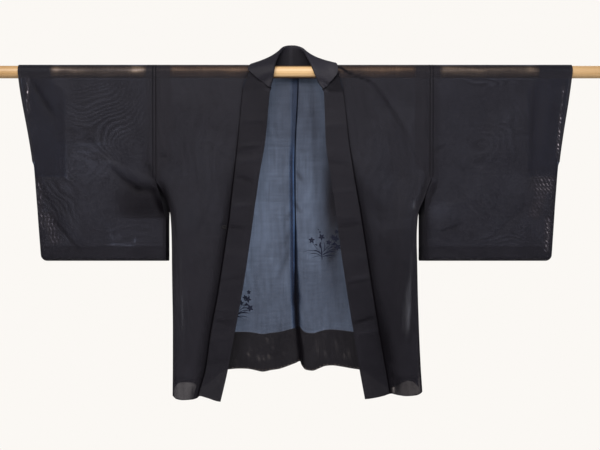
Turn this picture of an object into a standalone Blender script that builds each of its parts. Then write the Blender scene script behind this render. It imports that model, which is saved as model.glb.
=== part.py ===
"""A sheer summer haori hung on a round wooden rod, at real size.

Metres, +Z up. The origin is the middle of the rod's axis, +X runs along the rod to the wearer's left,
and the fronts face -Y. Tables and sizes below are in millimetres.
"""

import math

import bmesh
import bpy
from mathutils import Vector

MM = 0.001

# The rod
ROD_DIAMETER = 30.0
ROD_LENGTH = 1600.0
ROD_SIDES = 32

# The cloth
SEAM_GAP = 0.3
CLOTH_WALL = 1.5
DOUBLED_WALL = 1.9  # turned-up hems, cuff turn-ins and sleeve bottoms
COLLAR_WALL = 2.2
ROD_CLEARANCE = 0.5
SHOULDER_RADIUS = ROD_DIAMETER / 2 + ROD_CLEARANCE + DOUBLED_WALL  # the cloth's outer face over the rod
SHOULDER_STEPS = 10

# The armholes
ARMHOLE_X = 331.0
ARMHOLE_END = -254.0
FREE_EDGE_GAP = 1.2  # between the body and a sleeve's free edge below the armhole
FREE_EDGE_EASE = 20.0  # the gap opens over this length

# Heights on the garment
FRONT_HEM = -780.0
BACK_HEM = -714.0
HEM_CURVE_TOP = -400.0  # below here the rows bend to follow the hem's curve
FRONT_TURN_UP = -377.0  # the front hem is turned up this high
BACK_TURN_UP = -625.0
CUFF_END = -216.0
CUFF_TURN_IN = 96.0  # width of the doubled strip along the cuff
CUFF_TURN_IN_END = -248.0
SLEEVE_BOTTOM = -453.0
SLEEVE_BAND = -418.0
EDGE_STEP = 4.0  # a doubled stretch thickens over this length

# The collar
COLLAR_ROLL = 2.5  # radius of its outward fold
COLLAR_LIP = 1.0  # cloth past the fold where the band lies flat
COLLAR_PROUD = 0.35
COLLAR_FOOT = 0.8  # the stand starts this far from the neck edge

# The gores
GORE_INSET = DOUBLED_WALL + SEAM_GAP + 0.1  # from the outer faces of the fronts and back
GORE_DROP = 2.0  # its point starts this far below the armhole
GORE_BULGE = 2.0
GORE_BULGE_TOP = -345.0
GORE_BULGE_EASE = 120.0

# The cord loops
LOOP_CORD = 2.2
LOOP_START = 3.0  # from the collar seam
LOOP_LEG = 6.6
LOOP_BEND_AT = 8.25
LOOP_SPREAD = 2.4
LOOP_BEND = (60, 30, 0, -30, -60)  # degrees round the loop's end

# The large folds fade out near the armholes, near the rod and past their own ends.
FOLD_CALM_ACROSS = 8.0
FOLD_EASE_ACROSS = 60.0
FOLD_CALM_DOWN = 20.0
FOLD_EASE_DOWN = 80.0
FOLD_TAIL = 0.15  # share of a fold's own length

SHARP_ANGLE = 40.0  # degrees
ROW_SLACK = 1.0  # keeps a row that lies on a limit on its own side of it

FINISHES = {
    "rod": ("bare_pine", (0.58, 0.38, 0.2), 0.5),
    "body": ("body_silk", (0.026, 0.025, 0.031), 0.6),
    "gore": ("gore_silk", (0.024, 0.023, 0.029), 0.6),
    "sleeve": ("sleeve_silk", (0.024, 0.023, 0.029), 0.6),
    "collar": ("collar_silk", (0.022, 0.021, 0.026), 0.6),
    "loop": ("loop_silk", (0.02, 0.019, 0.024), 0.6),
}


def table(columns, *rows):
    """A short table as a dictionary of named columns."""
    names = columns.split()
    return {name: [row[i] for row in rows] for i, name in enumerate(names)}


# Outline of the body from the front: side edge, collar seam and the collar's inner edge, on both sides.
OUTLINE = table(
    "z side_right seam_right band_right side_left seam_left band_left",
    (0, -331, -106, -46, 331, 106, 52),
    (-39, -331, -119, -53.5, 331, 118.5, 73),
    (-170, -331, -131.5, -66.5, 331, 134, 78.5),
    (-254, -331, -140.5, -81, 331, 146.5, 90),
    (-307, -307, -146.5, -88.5, 316, 155.5, 98.5),
    (-345, -294.5, -150.5, -94, 300, 162, 104),
    (-400, -288, -158.5, -101.5, 295.5, 170.5, 110.5),
    (-520, -286.5, -177, -120, 297, 189, 128),
    (-622, -286, -195.5, -139, 300, 205, 144.5),
    (-715, -286, -208.5, -157, 304, 220.5, 159.5),
    (-780, -286.5, -226, -172.5, 308, 230.5, 171.5),
)

# Lower edge of the fronts, over both side edges and both ends of the collar.
FRONT_EDGE = table(
    "x z",
    (-288, -774),
    (-260, -786),
    (-226, -778),
    (-173, -791),
    (172, -784),
    (229, -770.5),
    (277, -776),
    (309, -764),
)

# Lower edge of the back, drawn up at the centre seam.
BACK_EDGE = table(
    "x z",
    (-288, -746),
    (-157, -714),
    (-72, -718),
    (-30, -712),
    (14, -694),
    (30, -712),
    (50, -716),
    (86, -705),
    (160, -714.5),
    (309, -746),
)

CENTRE_SEAM = table(
    "z x",
    (0, 10),
    (-19, 12),
    (-168, 4),
    (-230, 1.5),
    (-377, 4.5),
    (-542, 7),
    (-619, 9.5),
    (-715, 16),
)

# How far the cloth's outer faces stand from the middle plane.
DEPTH = table(
    "z middle flank sleeve",
    (0, 17.4, 17.4, 17.4),
    (-60, 17.3, 16.6, 16.6),
    (-150, 18, 15.2, 15.2),
    (-254, 18.5, 13.8, 13.8),
    (-340, 19, 15, 12.2),
    (-450, 19.5, 17.5, 9.5),
    (-600, 20, 20.5, 9.5),
    (-800, 20.5, 22.5, 9.5),
)
MIDDLE_X = 150.0
FLANK_X = 300.0

# Edges of the sleeves: at the body, front and back layer, and at the outer end.
SLEEVE_OUTLINE = table(
    "z front_right back_right out_right front_left back_left out_left",
    (17, -331, -331, -658, 331, 331, 669),
    (0, -331, -331, -657, 331, 331, 667.5),
    (-216, -331, -331, -622.5, 331, 331, 637),
    (-254, -331, -331, -619, 331, 331, 633.5),
    (-280, -322, -322, -617, 325, 325, 631.5),
    (-307, -310, -310, -615, 319.5, 319, 629.5),
    (-345, -301, -301, -612, 315, 306, 627),
    (-379, -299.5, -299, -609.5, 314.5, 303, 625),
    (-453, -299, -298.5, -604, 314.5, 302.5, 620),
)

# The neck, from the front level with the rod's axis over the shoulder to the centre of the back.
# seam is where the collar joins the neck edge, roll is its outward fold, edge its free edge, and faces
# is the way the collar's outside looks: 180 to the front, 90 up, 0 to the back.
NECK_RIGHT = table(
    "turn seam roll_x roll_y roll_z edge_x edge_y edge_z faces",
    (180, -106, -45.5, -20.5, -4, -84, -25, -18, 175),
    (157.5, -99, -43.5, -18.5, 9, -95, -24.5, -8, 165),
    (135, -92, -41.5, -13, 19, -103, -23.5, -1, 155),
    (112.5, -84, -38, -4, 29, -108, -21.5, 4, 143),
    (90, -76, -33, 4, 40, -104, -14, 14.5, 128),
    (67.5, -66, -27, 10, 51, -97, -2, 20, 108),
    (45, -55, -21, 14, 60, -87, 12, 17.5, 80),
    (22.5, -42, -16, 17, 65, -69, 22, 13, 45),
    (0, -23, -11, 19, 66.5, -40, 27, 8, 12),
)
NECK_LEFT = table(
    "turn seam roll_x roll_y roll_z edge_x edge_y edge_z faces",
    (180, 106, 56, -20.5, -17, 88, -25, -27, 175),
    (157.5, 99, 50, -20, -3, 95, -25, -19.5, 165),
    (135, 92, 45, -15, 10, 101, -25.5, -12, 155),
    (112.5, 84, 39, -7, 23, 107, -25, -3, 145),
    (90, 76, 32, 3, 37, 106, -18, 15.5, 132),
    (67.5, 66, 26, 10, 49, 98, -4, 22, 112),
    (45, 55, 19, 14, 58, 87, 12, 17.5, 80),
    (22.5, 42, 12, 17, 64, 69, 22, 13, 45),
    (0, 23, 5, 19, 66.5, 36, 27, 8, 12),
)
# The centre of the back, which both sides share.
NECK_BACK = {"seam": (10, 17.1, -4), "roll": (-4, 20, 67), "edge": (-2, 28, 4), "faces": 0}

# The lapel's start, where the flat band turns out: its fold line, fold angle, flap length and droop.
LAPEL = table(
    "z_right roll_right z_left roll_left angle flap droop",
    (-44, -53.6, -47, 73.4, 0, 0, 0),
    (-39, -53, -42, 71, 75, 2, 1),
    (-31, -51, -35, 65.5, 150, 8, 5),
    (-18, -47.5, -26, 60, 180, 19, 9),
)

# Large soft folds: face -1 for the fronts and 1 for the back, ends, half width and height, out if positive.
FOLDS = table(
    "face x_top z_top x_foot z_foot half_width height",
    (1, 50, -60, 58, -330, 34, -3.0),
    (1, -120, -90, -140, -520, 60, 2.0),
    (1, 190, -120, 215, -640, 60, 2.5),
    (1, 10, -520, 15, -760, 70, 4.0),
    (-1, -262, -300, -264, -760, 30, 2.0),
    (-1, 270, -280, 272, -760, 30, 2.5),
    (-1, -210, -120, -225, -400, 45, -2.0),
    (-1, 215, -60, 250, -330, 45, -2.0),
    (-1, -455, -150, -320, -400, 45, -2.5),
    (-1, 480, -120, 430, -430, 60, 2.0),
    (1, -480, -90, -430, -420, 70, 2.0),
    (1, 470, -90, 520, -420, 70, -2.0),
)

SIDES = {"right": -1, "left": 1}


def read(rows, key, at, column):
    """The smooth value of a column where the key column passes a value, without overshoot."""
    pairs = sorted(zip(rows[key], rows[column]))
    keys = [p[0] for p in pairs]
    values = [p[1] for p in pairs]
    if at <= keys[0]:
        return values[0]
    if at >= keys[-1]:
        return values[-1]
    i = max(k for k in range(len(keys) - 1) if keys[k] <= at)
    steps = [b - a for a, b in zip(keys, keys[1:])]
    slopes = [(b - a) / h for a, b, h in zip(values, values[1:], steps)]

    def bend(k):
        if k == 0 or k == len(keys) - 1:
            return slopes[min(k, len(slopes) - 1)]
        before, after = slopes[k - 1], slopes[k]
        return 0.0 if before * after <= 0 else 2 * before * after / (before + after)

    h = steps[i]
    t = (at - keys[i]) / h
    rise = values[i + 1] - values[i]
    start, finish = bend(i) * h, bend(i + 1) * h
    bow = t * t * (3 * rise - 2 * start - finish) + t**3 * (start + finish - 2 * rise)
    return values[i] + t * start + bow


def ease(t):
    t = min(max(t, 0.0), 1.0)
    return t * t * (3 - 2 * t)


def mix(a, b, t):
    return a + (b - a) * t


def fold_height(face, x, z):
    """Height of the large folds at a point of the front or back."""
    height = 0.0
    for i, side in enumerate(FOLDS["face"]):
        if side != face:
            continue
        top = Vector((FOLDS["x_top"][i], FOLDS["z_top"][i]))
        run = Vector((FOLDS["x_foot"][i], FOLDS["z_foot"][i])) - top
        along = (Vector((x, z)) - top).dot(run) / run.length_squared
        across = (Vector((x, z)) - top - run * along).length / FOLDS["half_width"][i]
        if across < 1 and -FOLD_TAIL < along < 1 + FOLD_TAIL:
            fade = ease((along / FOLD_TAIL + 1) / 2) * ease(((1 - along) / FOLD_TAIL + 1) / 2)
            height += FOLDS["height"][i] * fade * (0.5 + 0.5 * math.cos(math.pi * across))
    return height


def body_depth(x, z):
    middle = read(DEPTH, "z", z, "middle")
    flank = read(DEPTH, "z", z, "flank")
    return mix(middle, flank, ease((abs(x) - MIDDLE_X) / (FLANK_X - MIDDLE_X)))


def hang(face, x, z, depth):
    """A point of the cloth's outer face below the rod. The folds fade out at the armholes and shoulders."""
    across = ease((abs(abs(x) - ARMHOLE_X) - FOLD_CALM_ACROSS) / FOLD_EASE_ACROSS)
    down = ease((-z - FOLD_CALM_DOWN) / FOLD_EASE_DOWN)
    return Vector((x, face * (depth + across * down * fold_height(face, x, z)), z))


def over_rod(x, turn, radius=SHOULDER_RADIUS):
    """A point on the cloth's outer face over the rod: 180 degrees in front, 90 on top, 0 behind."""
    angle = math.radians(turn)
    return Vector((x, radius * math.cos(angle), radius * math.sin(angle)))


def material(kind, side=""):
    """A plain finish for one sub-part."""
    name, colour, roughness = FINISHES[kind]
    finish = bpy.data.materials.new(name + side)
    finish.use_nodes = True
    shader = finish.node_tree.nodes["Principled BSDF"]
    shader.inputs["Base Color"].default_value = (*colour, 1)
    shader.inputs["Roughness"].default_value = roughness
    shader.inputs["Metallic"].default_value = 0.0
    return finish


def link(name, data, finish, parent):
    data.materials.append(finish)
    obj = bpy.data.objects.new(name, data)
    obj.parent = parent
    bpy.context.collection.objects.link(obj)
    return obj


def cloth(name, points, faces, finish, parent, wall, offset=-1, doubled=None):
    """A cloth wall on a surface. doubled lists the points where the cloth lies double."""
    data = bpy.data.meshes.new(name)
    data.from_pydata([p * MM for p in points], [], faces)
    obj = link(name, data, finish, parent)
    thicken = obj.modifiers.new("wall", "SOLIDIFY")
    thicken.thickness = wall * MM
    thicken.offset = offset
    thicken.use_even_offset = True
    thicken.use_quality_normals = True
    if doubled:
        group = obj.vertex_groups.new(name="doubled")
        group.add(range(len(points)), 0.0, "REPLACE")
        group.add(doubled, 1.0, "REPLACE")
        thicken.thickness = DOUBLED_WALL * MM
        thicken.vertex_group = group.name
        thicken.thickness_vertex_group = wall / DOUBLED_WALL
    data.shade_smooth()
    data.set_sharp_from_angle(angle=math.radians(SHARP_ANGLE))
    return obj


def strip_faces(rows, columns, flip):
    """Faces of a grid of points listed row by row."""
    faces = []
    for r in range(rows - 1):
        for c in range(columns - 1):
            a = r * columns + c
            face = (a, a + 1, a + columns + 1, a + columns)
            faces.append(face[::-1] if flip else face)
    return faces


def with_steps(heights, *turn_ups):
    """Row heights with a pair of rows at each turn-up, so that the wall thickens over a short length."""
    rows = list(heights)
    for z in turn_ups:
        rows += [z + EDGE_STEP / 2, z - EDGE_STEP / 2]
    return sorted(rows)


FRONT_ROWS = with_steps(
    (-780, -740, -690, -622, -560, -500, -440, -345, -307, -280, -254, -200, -140, -90, -52, -39, -27, -15, 0),
    FRONT_TURN_UP,
)
BACK_ROWS = with_steps(
    (0, -4, -20, -60, -110, -170, -225, -254, -280, -307, -345, -400, -460, -520, -575, -670, -714),
    BACK_TURN_UP,
)[::-1]
PANEL_COLUMNS = (0, 0.06, 0.16, 0.29, 0.43, 0.57, 0.71, 0.84, 0.95, 1)


def front_point(x, z):
    drop = (read(FRONT_EDGE, "x", x, "z") - FRONT_HEM) * hem_share(z, FRONT_HEM)
    return hang(-1, x, z + drop, body_depth(x, z))


def back_point(x, z):
    drop = (read(BACK_EDGE, "x", x, "z") - BACK_HEM) * hem_share(z, BACK_HEM)
    return hang(1, x, z + drop, body_depth(x, z))


def hem_share(z, hem):
    return max((z - HEM_CURVE_TOP) / (hem - HEM_CURVE_TOP), 0)


def body_panel(side, finish, parent):
    """One strip from the front hem over the shoulder to the back hem, cut round the neck."""
    sign = SIDES[side]
    neck = NECK_RIGHT if side == "right" else NECK_LEFT
    gap = SEAM_GAP / 2 * sign
    points, doubled = [], []

    def add_row(outer, inner, place, thick):
        for share in PANEL_COLUMNS:
            if thick:
                doubled.append(len(points))
            points.append(place(mix(outer - gap, inner + gap, share)))

    for z in FRONT_ROWS:
        outer = read(OUTLINE, "z", z, "side_" + side)
        inner = read(OUTLINE, "z", z, "seam_" + side) if z < 0 else neck["seam"][0]
        add_row(outer, inner, lambda x, z=z: front_point(x, z), z < FRONT_TURN_UP)
    for i in range(1, SHOULDER_STEPS):
        turn = 180 - 180 * i / SHOULDER_STEPS
        inner = read(neck, "turn", turn, "seam")
        add_row(sign * ARMHOLE_X, inner, lambda x, turn=turn: over_rod(x, turn), False)
    for z in BACK_ROWS:
        outer = read(OUTLINE, "z", z, "side_" + side)
        inner = neck["seam"][-1] if z == 0 else read(CENTRE_SEAM, "z", z, "x")
        add_row(outer, inner, lambda x, z=z: back_point(x, z), z < BACK_TURN_UP)
    rows = len(points) // len(PANEL_COLUMNS)
    faces = strip_faces(rows, len(PANEL_COLUMNS), side == "left")
    return cloth("body_" + side, points, faces, finish, parent, CLOTH_WALL, doubled=doubled)


GORE_COLUMNS = 5
GORE_ROWS = [z for z in FRONT_ROWS if z <= ARMHOLE_END]


def gore(side, finish, parent):
    """The narrow side piece between front and back, from under the armhole to the hem."""
    sign = SIDES[side]
    points = []
    for z in GORE_ROWS:
        level = min(z, ARMHOLE_END - GORE_DROP)
        x = read(OUTLINE, "z", level, "side_" + side) - sign * SEAM_GAP / 2
        front = front_point(x, level)
        below = hem_share(level, FRONT_HEM)
        back = back_point(x, mix(HEM_CURVE_TOP, BACK_HEM, below) if below else level)
        front.y += GORE_INSET
        back.y -= GORE_INSET
        for i in range(GORE_COLUMNS):
            share = i / (GORE_COLUMNS - 1)
            point = front.lerp(back, share)
            bulge = GORE_BULGE * ease((GORE_BULGE_TOP - level) / GORE_BULGE_EASE)
            point.x = x + sign * bulge * math.sin(math.pi * share)
            points.append(point)
    faces = strip_faces(len(GORE_ROWS), GORE_COLUMNS, side == "right")
    return cloth("gore_" + side, points, faces, finish, parent, CLOTH_WALL)


SLEEVE_ROWS = (0, -40, -90, -150, -200, -216, -254, -280, -307, -345, -385)
SLEEVE_COLUMNS = (0, 0.04, 0.12, 0.23, 0.34, 0.45, 0.56, 0.67, 0.76, 0.86, 0.94)
ROUND_STEPS = (0, 35, 65, 90)  # degrees round a closed edge, from the flat to the fold
CLOSED_EDGE = 9.0  # width of the rounding along a closed edge
CORNER_RADIUS = 14.0


def sleeve_inner(side, layer, z):
    """The sleeve's edge at the body: sewn down to the armhole's end, then free and clear of the side."""
    edge = abs(read(SLEEVE_OUTLINE, "z", z, layer + side))
    body = abs(read(OUTLINE, "z", z, "side_" + side))
    gap = mix(SEAM_GAP / 2, FREE_EDGE_GAP, ease((ARMHOLE_END - z) / FREE_EDGE_EASE))
    return SIDES[side] * max(edge, body + gap)


def sleeve_sheet(side, face):
    """Points of one layer of a sleeve, row by row from the top, out to the closed edges."""
    layer = "front_" if face < 0 else "back_"
    heights = [(z, 0.0) for z in SLEEVE_ROWS]
    heights += [(SLEEVE_BAND + ROW_SLACK, 0.0), (SLEEVE_BAND - EDGE_STEP, 0.0)]
    heights += [(SLEEVE_BOTTOM + CLOSED_EDGE * (1 - math.sin(math.radians(a))), a) for a in ROUND_STEPS]
    rows = []
    for z, low in heights:
        inner = sleeve_inner(side, layer, z)
        outer = read(SLEEVE_OUTLINE, "z", z, "out_" + side)
        depth = read(DEPTH, "z", z, "sleeve")
        flat = outer - SIDES[side] * CLOSED_EDGE
        closed = z < CUFF_END - ROW_SLACK
        row = [(mix(inner, flat, share / SLEEVE_COLUMNS[-1]), 0.0) for share in SLEEVE_COLUMNS]
        for turn in ROUND_STEPS[1:]:
            row.append((outer - SIDES[side] * CLOSED_EDGE * (1 - math.sin(math.radians(turn))), turn))
        line = []
        for x, out in row:
            thin = math.cos(math.radians(low)) * (math.cos(math.radians(out)) if closed else 1)
            rounded = corner(x, z, outer, SIDES[side])
            point = hang(face, rounded[0], rounded[1], depth)
            point.y *= thin
            line.append(point)
        rows.append(line)
    return rows


def corner(x, z, outer, sign):
    """Draws points near a sleeve's lower outer corner in to a quarter circle."""
    across = CORNER_RADIUS - abs(outer - x)
    down = CORNER_RADIUS - (z - SLEEVE_BOTTOM)
    if across <= 0 or down <= 0:
        return x, z
    square = max(across, down)
    scale = square / math.hypot(across, down)
    return x - sign * across * (1 - scale), z + down * (1 - scale)


def sleeve(side, finish, parent):
    """One cloth over the rod, closed at the bottom and below the cuff, open at the cuff and the body."""
    front = sleeve_sheet(side, -1)
    back = sleeve_sheet(side, 1)
    columns = len(front[0])
    points, index, doubled = [], {}, []

    def add(key, point):
        index[key] = len(points)
        x, z = abs(point.x), point.z
        outer = abs(read(SLEEVE_OUTLINE, "z", z, "out_" + side))
        facing = x > outer - CUFF_TURN_IN and z > CUFF_TURN_IN_END
        if z < SLEEVE_BAND - ROW_SLACK or facing:
            doubled.append(len(points))
        points.append(point)

    last = len(front) - 1
    for r, row in enumerate(front):
        for c, point in enumerate(row):
            add(("front", r, c), point)
    for r, row in enumerate(back):
        for c, point in enumerate(row):
            shut = r == last or (c == columns - 1 and row[c].z < CUFF_END - ROW_SLACK)
            if shut:
                index["back", r, c] = index["front", r, c]
            else:
                add(("back", r, c), point)
    for i in range(1, SHOULDER_STEPS):
        for c, point in enumerate(front[0]):
            add(("top", i, c), over_rod(point.x, 180 - 180 * i / SHOULDER_STEPS))
    loop = [("front", r) for r in range(last, -1, -1)]
    loop += [("top", i) for i in range(1, SHOULDER_STEPS)]
    loop += [("back", r) for r in range(last + 1)]
    faces = []
    for (name_a, a), (name_b, b) in zip(loop, loop[1:]):
        for c in range(columns - 1):
            corners = ((name_a, a, c), (name_a, a, c + 1), (name_b, b, c + 1), (name_b, b, c))
            face = [index[key] for key in corners]
            if side == "right":
                face.reverse()
            faces.append(tuple(dict.fromkeys(face)))
    return cloth("sleeve_" + side, points, faces, finish, parent, CLOTH_WALL, doubled=doubled)


STAND_STEPS = 4
ROLL_STEPS = 4
FLAP_STEPS = 4


def collar_section(seam, roll, faces_to, angle, edge=None, flap=0.0, droop=0.0):
    """The collar's middle surface across: up the stand, round the outward fold and down the flap."""
    up = (roll - seam).normalized()
    outward = Vector((0, math.cos(math.radians(faces_to)), math.sin(math.radians(faces_to))))
    outward = (outward - up * outward.dot(up)).normalized()
    turn = math.radians(angle)
    length = math.pi * COLLAR_ROLL
    stand_end = roll - up * mix(length, COLLAR_ROLL, angle / 180)
    points = [seam.lerp(stand_end, i / STAND_STEPS) for i in range(STAND_STEPS)]
    for i in range(ROLL_STEPS + 1):
        part = turn * i / ROLL_STEPS
        if angle:
            radius = length / turn
            points.append(stand_end + up * radius * math.sin(part) + outward * radius * (1 - math.cos(part)))
        else:
            points.append(stand_end + up * length * i / ROLL_STEPS)
    start = points[-1]
    ahead = up * math.cos(turn) + outward * math.sin(turn)
    edge = edge or start + ahead * (COLLAR_LIP + flap) - Vector((0, 0, droop))
    reach = (edge - start).length
    for i in range(1, FLAP_STEPS + 1):
        share = i / FLAP_STEPS
        tangent = start + ahead * reach * share
        points.append(tangent.lerp(start.lerp(edge, share), share**0.5))
    return points


def collar_front(side):
    """Sections of the flat band and the lapel's start, from the hem up."""
    sections = []
    lapel_z = LAPEL["z_" + side]
    for z in (z for z in FRONT_ROWS if z < lapel_z[0] - ROW_SLACK):
        seam = band_point(read(OUTLINE, "z", z, "seam_" + side) - SIDES[side] * SEAM_GAP / 2, z)
        inner = band_point(read(OUTLINE, "z", z, "band_" + side), z)
        sections.append(collar_section(seam, inner - (inner - seam).normalized() * COLLAR_LIP, 180, 0))
    for i, z in enumerate(lapel_z):
        angle = LAPEL["angle"][i]
        seam = band_point(read(OUTLINE, "z", z, "seam_" + side) - SIDES[side] * SEAM_GAP / 2, z)
        roll = band_point(LAPEL["roll_" + side][i], z)
        seam += (roll - seam).normalized() * COLLAR_FOOT * angle / 180
        flap, droop = LAPEL["flap"][i], LAPEL["droop"][i]
        sections.append(collar_section(seam, roll, 180, angle, flap=flap, droop=droop))
    return sections


def band_point(x, z):
    """A point on the collar's middle surface where it lies flat on the front."""
    point = front_point(x, z)
    point.y += CLOTH_WALL / 2 - COLLAR_PROUD
    return point


def collar_neck(side):
    """Sections from the front at the rod's level over the shoulder to just short of the centre back."""
    neck = NECK_RIGHT if side == "right" else NECK_LEFT
    sections = []
    middle = SHOULDER_RADIUS - CLOTH_WALL / 2 + COLLAR_PROUD
    for i in range(SHOULDER_STEPS + 1):
        turn = 180 - 180 * i / SHOULDER_STEPS
        row = {column: read(neck, "turn", turn, column) for column in neck}
        seam = over_rod(row["seam"], turn, middle)
        roll = Vector((row["roll_x"], row["roll_y"], row["roll_z"]))
        edge = Vector((row["edge_x"], row["edge_y"], row["edge_z"]))
        seam += (roll - seam).normalized() * COLLAR_FOOT
        sections.append(collar_section(seam, roll, row["faces"], 180, edge=edge))
    return sections


def collar(finish, parent):
    """One long band from hem to hem round the neck, turned outward from the lapels to the centre back."""
    foot = Vector(NECK_BACK["seam"]) + Vector((0, 0, COLLAR_FOOT))
    roll = Vector(NECK_BACK["roll"])
    back = collar_section(foot, roll, NECK_BACK["faces"], 180, edge=Vector(NECK_BACK["edge"]))
    sections = collar_front("right") + collar_neck("right") + [back]
    sections += (collar_front("left") + collar_neck("left"))[::-1]
    across = len(sections[0])
    points = [p for section in sections for p in section]
    faces = strip_faces(len(sections), across, False)
    return cloth("collar", points, faces, finish, parent, COLLAR_WALL, offset=0)


LOOP_PLACES = table("x z face", (-155.5, -372, -1), (170.5, -372, 1))


def cord_loop(side, finish, parent):
    """A narrow loop of rolled cloth at the collar seam, standing on the front: outside on the right."""
    i = list(SIDES).index(side)
    x, z = LOOP_PLACES["x"][i], LOOP_PLACES["z"][i]
    outside = LOOP_PLACES["face"][i] < 0
    skin = front_point(x, z)
    y = skin.y - LOOP_CORD / 2 - SEAM_GAP if outside else skin.y + DOUBLED_WALL + LOOP_CORD / 2 + SEAM_GAP
    sign = SIDES[side]
    centre = Vector((x + sign * LOOP_START, y, z))
    curve = bpy.data.curves.new("loop_" + side, "CURVE")
    curve.dimensions = "3D"
    curve.bevel_depth = LOOP_CORD / 2 * MM
    curve.bevel_resolution = 2
    curve.use_fill_caps = True
    spline = curve.splines.new("POLY")
    route = [(0, LOOP_SPREAD), (LOOP_LEG, LOOP_SPREAD)]
    for turn in LOOP_BEND:
        angle = math.radians(turn)
        route.append((LOOP_BEND_AT + LOOP_SPREAD * math.cos(angle), LOOP_SPREAD * math.sin(angle)))
    route += [(LOOP_LEG, -LOOP_SPREAD), (0, -LOOP_SPREAD)]
    spline.points.add(len(route) - 1)
    for point, (reach, height) in zip(spline.points, route):
        point.co = (*((centre + Vector((sign * reach, 0, height))) * MM), 1)
    return link("loop_" + side, curve, finish, parent)


def rod(finish, parent):
    """A plain round wooden rod with flat ends, lying along X."""
    data = bpy.data.meshes.new("rod")
    shape = bmesh.new()
    bmesh.ops.create_cone(
        shape,
        cap_ends=True,
        segments=ROD_SIDES,
        radius1=ROD_DIAMETER / 2 * MM,
        radius2=ROD_DIAMETER / 2 * MM,
        depth=ROD_LENGTH * MM,
    )
    shape.to_mesh(data)
    shape.free()
    data.shade_smooth()
    data.set_sharp_from_angle(angle=math.radians(SHARP_ANGLE))
    obj = link("rod", data, finish, parent)
    obj.rotation_euler = (0, math.radians(90), 0)
    return obj


def main():
    for obj in list(bpy.data.objects):
        bpy.data.objects.remove(obj, do_unlink=True)
    haori = bpy.data.objects.new("haori", None)
    bpy.context.collection.objects.link(haori)
    rod(material("rod"), haori)
    for side in SIDES:
        body_panel(side, material("body", "_" + side), haori)
        gore(side, material("gore", "_" + side), haori)
        sleeve(side, material("sleeve", "_" + side), haori)
        cord_loop(side, material("loop", "_" + side), haori)
    collar(material("collar"), haori)


main()
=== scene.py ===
import bisect
import math

import bmesh
import bpy
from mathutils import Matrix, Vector


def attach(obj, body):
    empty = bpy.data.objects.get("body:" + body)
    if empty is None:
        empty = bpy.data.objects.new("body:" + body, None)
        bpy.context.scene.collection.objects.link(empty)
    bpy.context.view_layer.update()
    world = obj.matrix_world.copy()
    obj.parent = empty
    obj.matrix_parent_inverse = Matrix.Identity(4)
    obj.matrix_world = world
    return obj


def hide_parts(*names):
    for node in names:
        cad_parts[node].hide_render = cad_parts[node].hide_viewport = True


# A sheer black summer haori hung on a pine rod. Sizes and places are in millimetres from the middle of
# the rod: x to the wearer's left, y to the back, z up.
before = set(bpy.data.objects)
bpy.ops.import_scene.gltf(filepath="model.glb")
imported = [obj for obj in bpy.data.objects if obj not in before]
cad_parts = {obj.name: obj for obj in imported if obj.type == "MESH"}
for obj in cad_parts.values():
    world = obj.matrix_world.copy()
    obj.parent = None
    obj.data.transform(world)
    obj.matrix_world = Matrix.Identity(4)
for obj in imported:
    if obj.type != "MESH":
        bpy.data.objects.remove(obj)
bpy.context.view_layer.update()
mm = 0.001
sharpTurn = math.radians(50)  # the least turn that stays a sharp edge
sides = {"right": -1, "left": 1}


def newObject(name, data):
    obj = bpy.data.objects.new(name, data)
    bpy.context.collection.objects.link(obj)
    return obj


camera = {
    "place": (16.8, -2800.0, -367.0),
    "lens": 70.0,
    "sensor": 36.0,
}


def makeCamera():
    data = bpy.data.cameras.new("camera")
    data.lens = camera["lens"]
    data.sensor_width = camera["sensor"]
    obj = newObject("camera", data)
    obj.location = [v * mm for v in camera["place"]]
    obj.rotation_euler = (math.radians(90), 0, 0)
    bpy.context.scene.camera = obj


makeCamera()
print("camera set")


def table(columns, *rows):
    names = columns.split()
    return {name: [row[i] for row in rows] for i, name in enumerate(names)}


curves = {}


def readTable(rows, key, at, column):
    # the smooth value of a column where the key column passes a value, without overshoot
    spot = (id(rows), key, column)
    if spot not in curves:
        pairs = sorted(zip(rows[key], rows[column]))
        keys = [p[0] for p in pairs]
        values = [p[1] for p in pairs]
        slopes = [(values[i + 1] - values[i]) / (keys[i + 1] - keys[i]) for i in range(len(keys) - 1)]
        bends = [slopes[0]]
        for before, after in zip(slopes, slopes[1:]):
            bends.append(0.0 if before * after <= 0 else 2 * before * after / (before + after))
        bends.append(slopes[-1])
        curves[spot] = (keys, values, bends)
    keys, values, bends = curves[spot]
    if at <= keys[0]:
        return values[0]
    if at >= keys[-1]:
        return values[-1]
    i = bisect.bisect_right(keys, at) - 1
    step = keys[i + 1] - keys[i]
    t = (at - keys[i]) / step
    rise = values[i + 1] - values[i]
    start, finish = bends[i] * step, bends[i + 1] * step
    bow = 3 * rise - 2 * start - finish
    return values[i] + t * start + t * t * bow + t**3 * (start + finish - 2 * rise)


def ease(t):
    t = min(max(t, 0.0), 1.0)
    return t * t * (3 - 2 * t)


def mix(a, b, t):
    return a + (b - a) * t


def below(z, span):
    # eases from 0 at a span's height to 1 over its length further down
    return ease((span[0] - z) / span[1])


def above(z, span):
    return ease((z - span[0]) / span[1])


def peak(off, half):
    # 1 in the middle of a soft bump, fading out a little past twice its half width
    return math.exp(-((off / half) ** 2))


def spread(first, last, step):
    # evenly spaced values from first to last, about a step apart
    count = max(1, round(abs(last - first) / step))
    return [mix(first, last, i / count) for i in range(count + 1)]


def linear(hexColour):
    parts = [int(hexColour[i : i + 2], 16) / 255 for i in (1, 3, 5)]
    return (*[c / 12.92 if c <= 0.04045 else ((c + 0.055) / 1.055) ** 2.4 for c in parts], 1.0)


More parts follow.
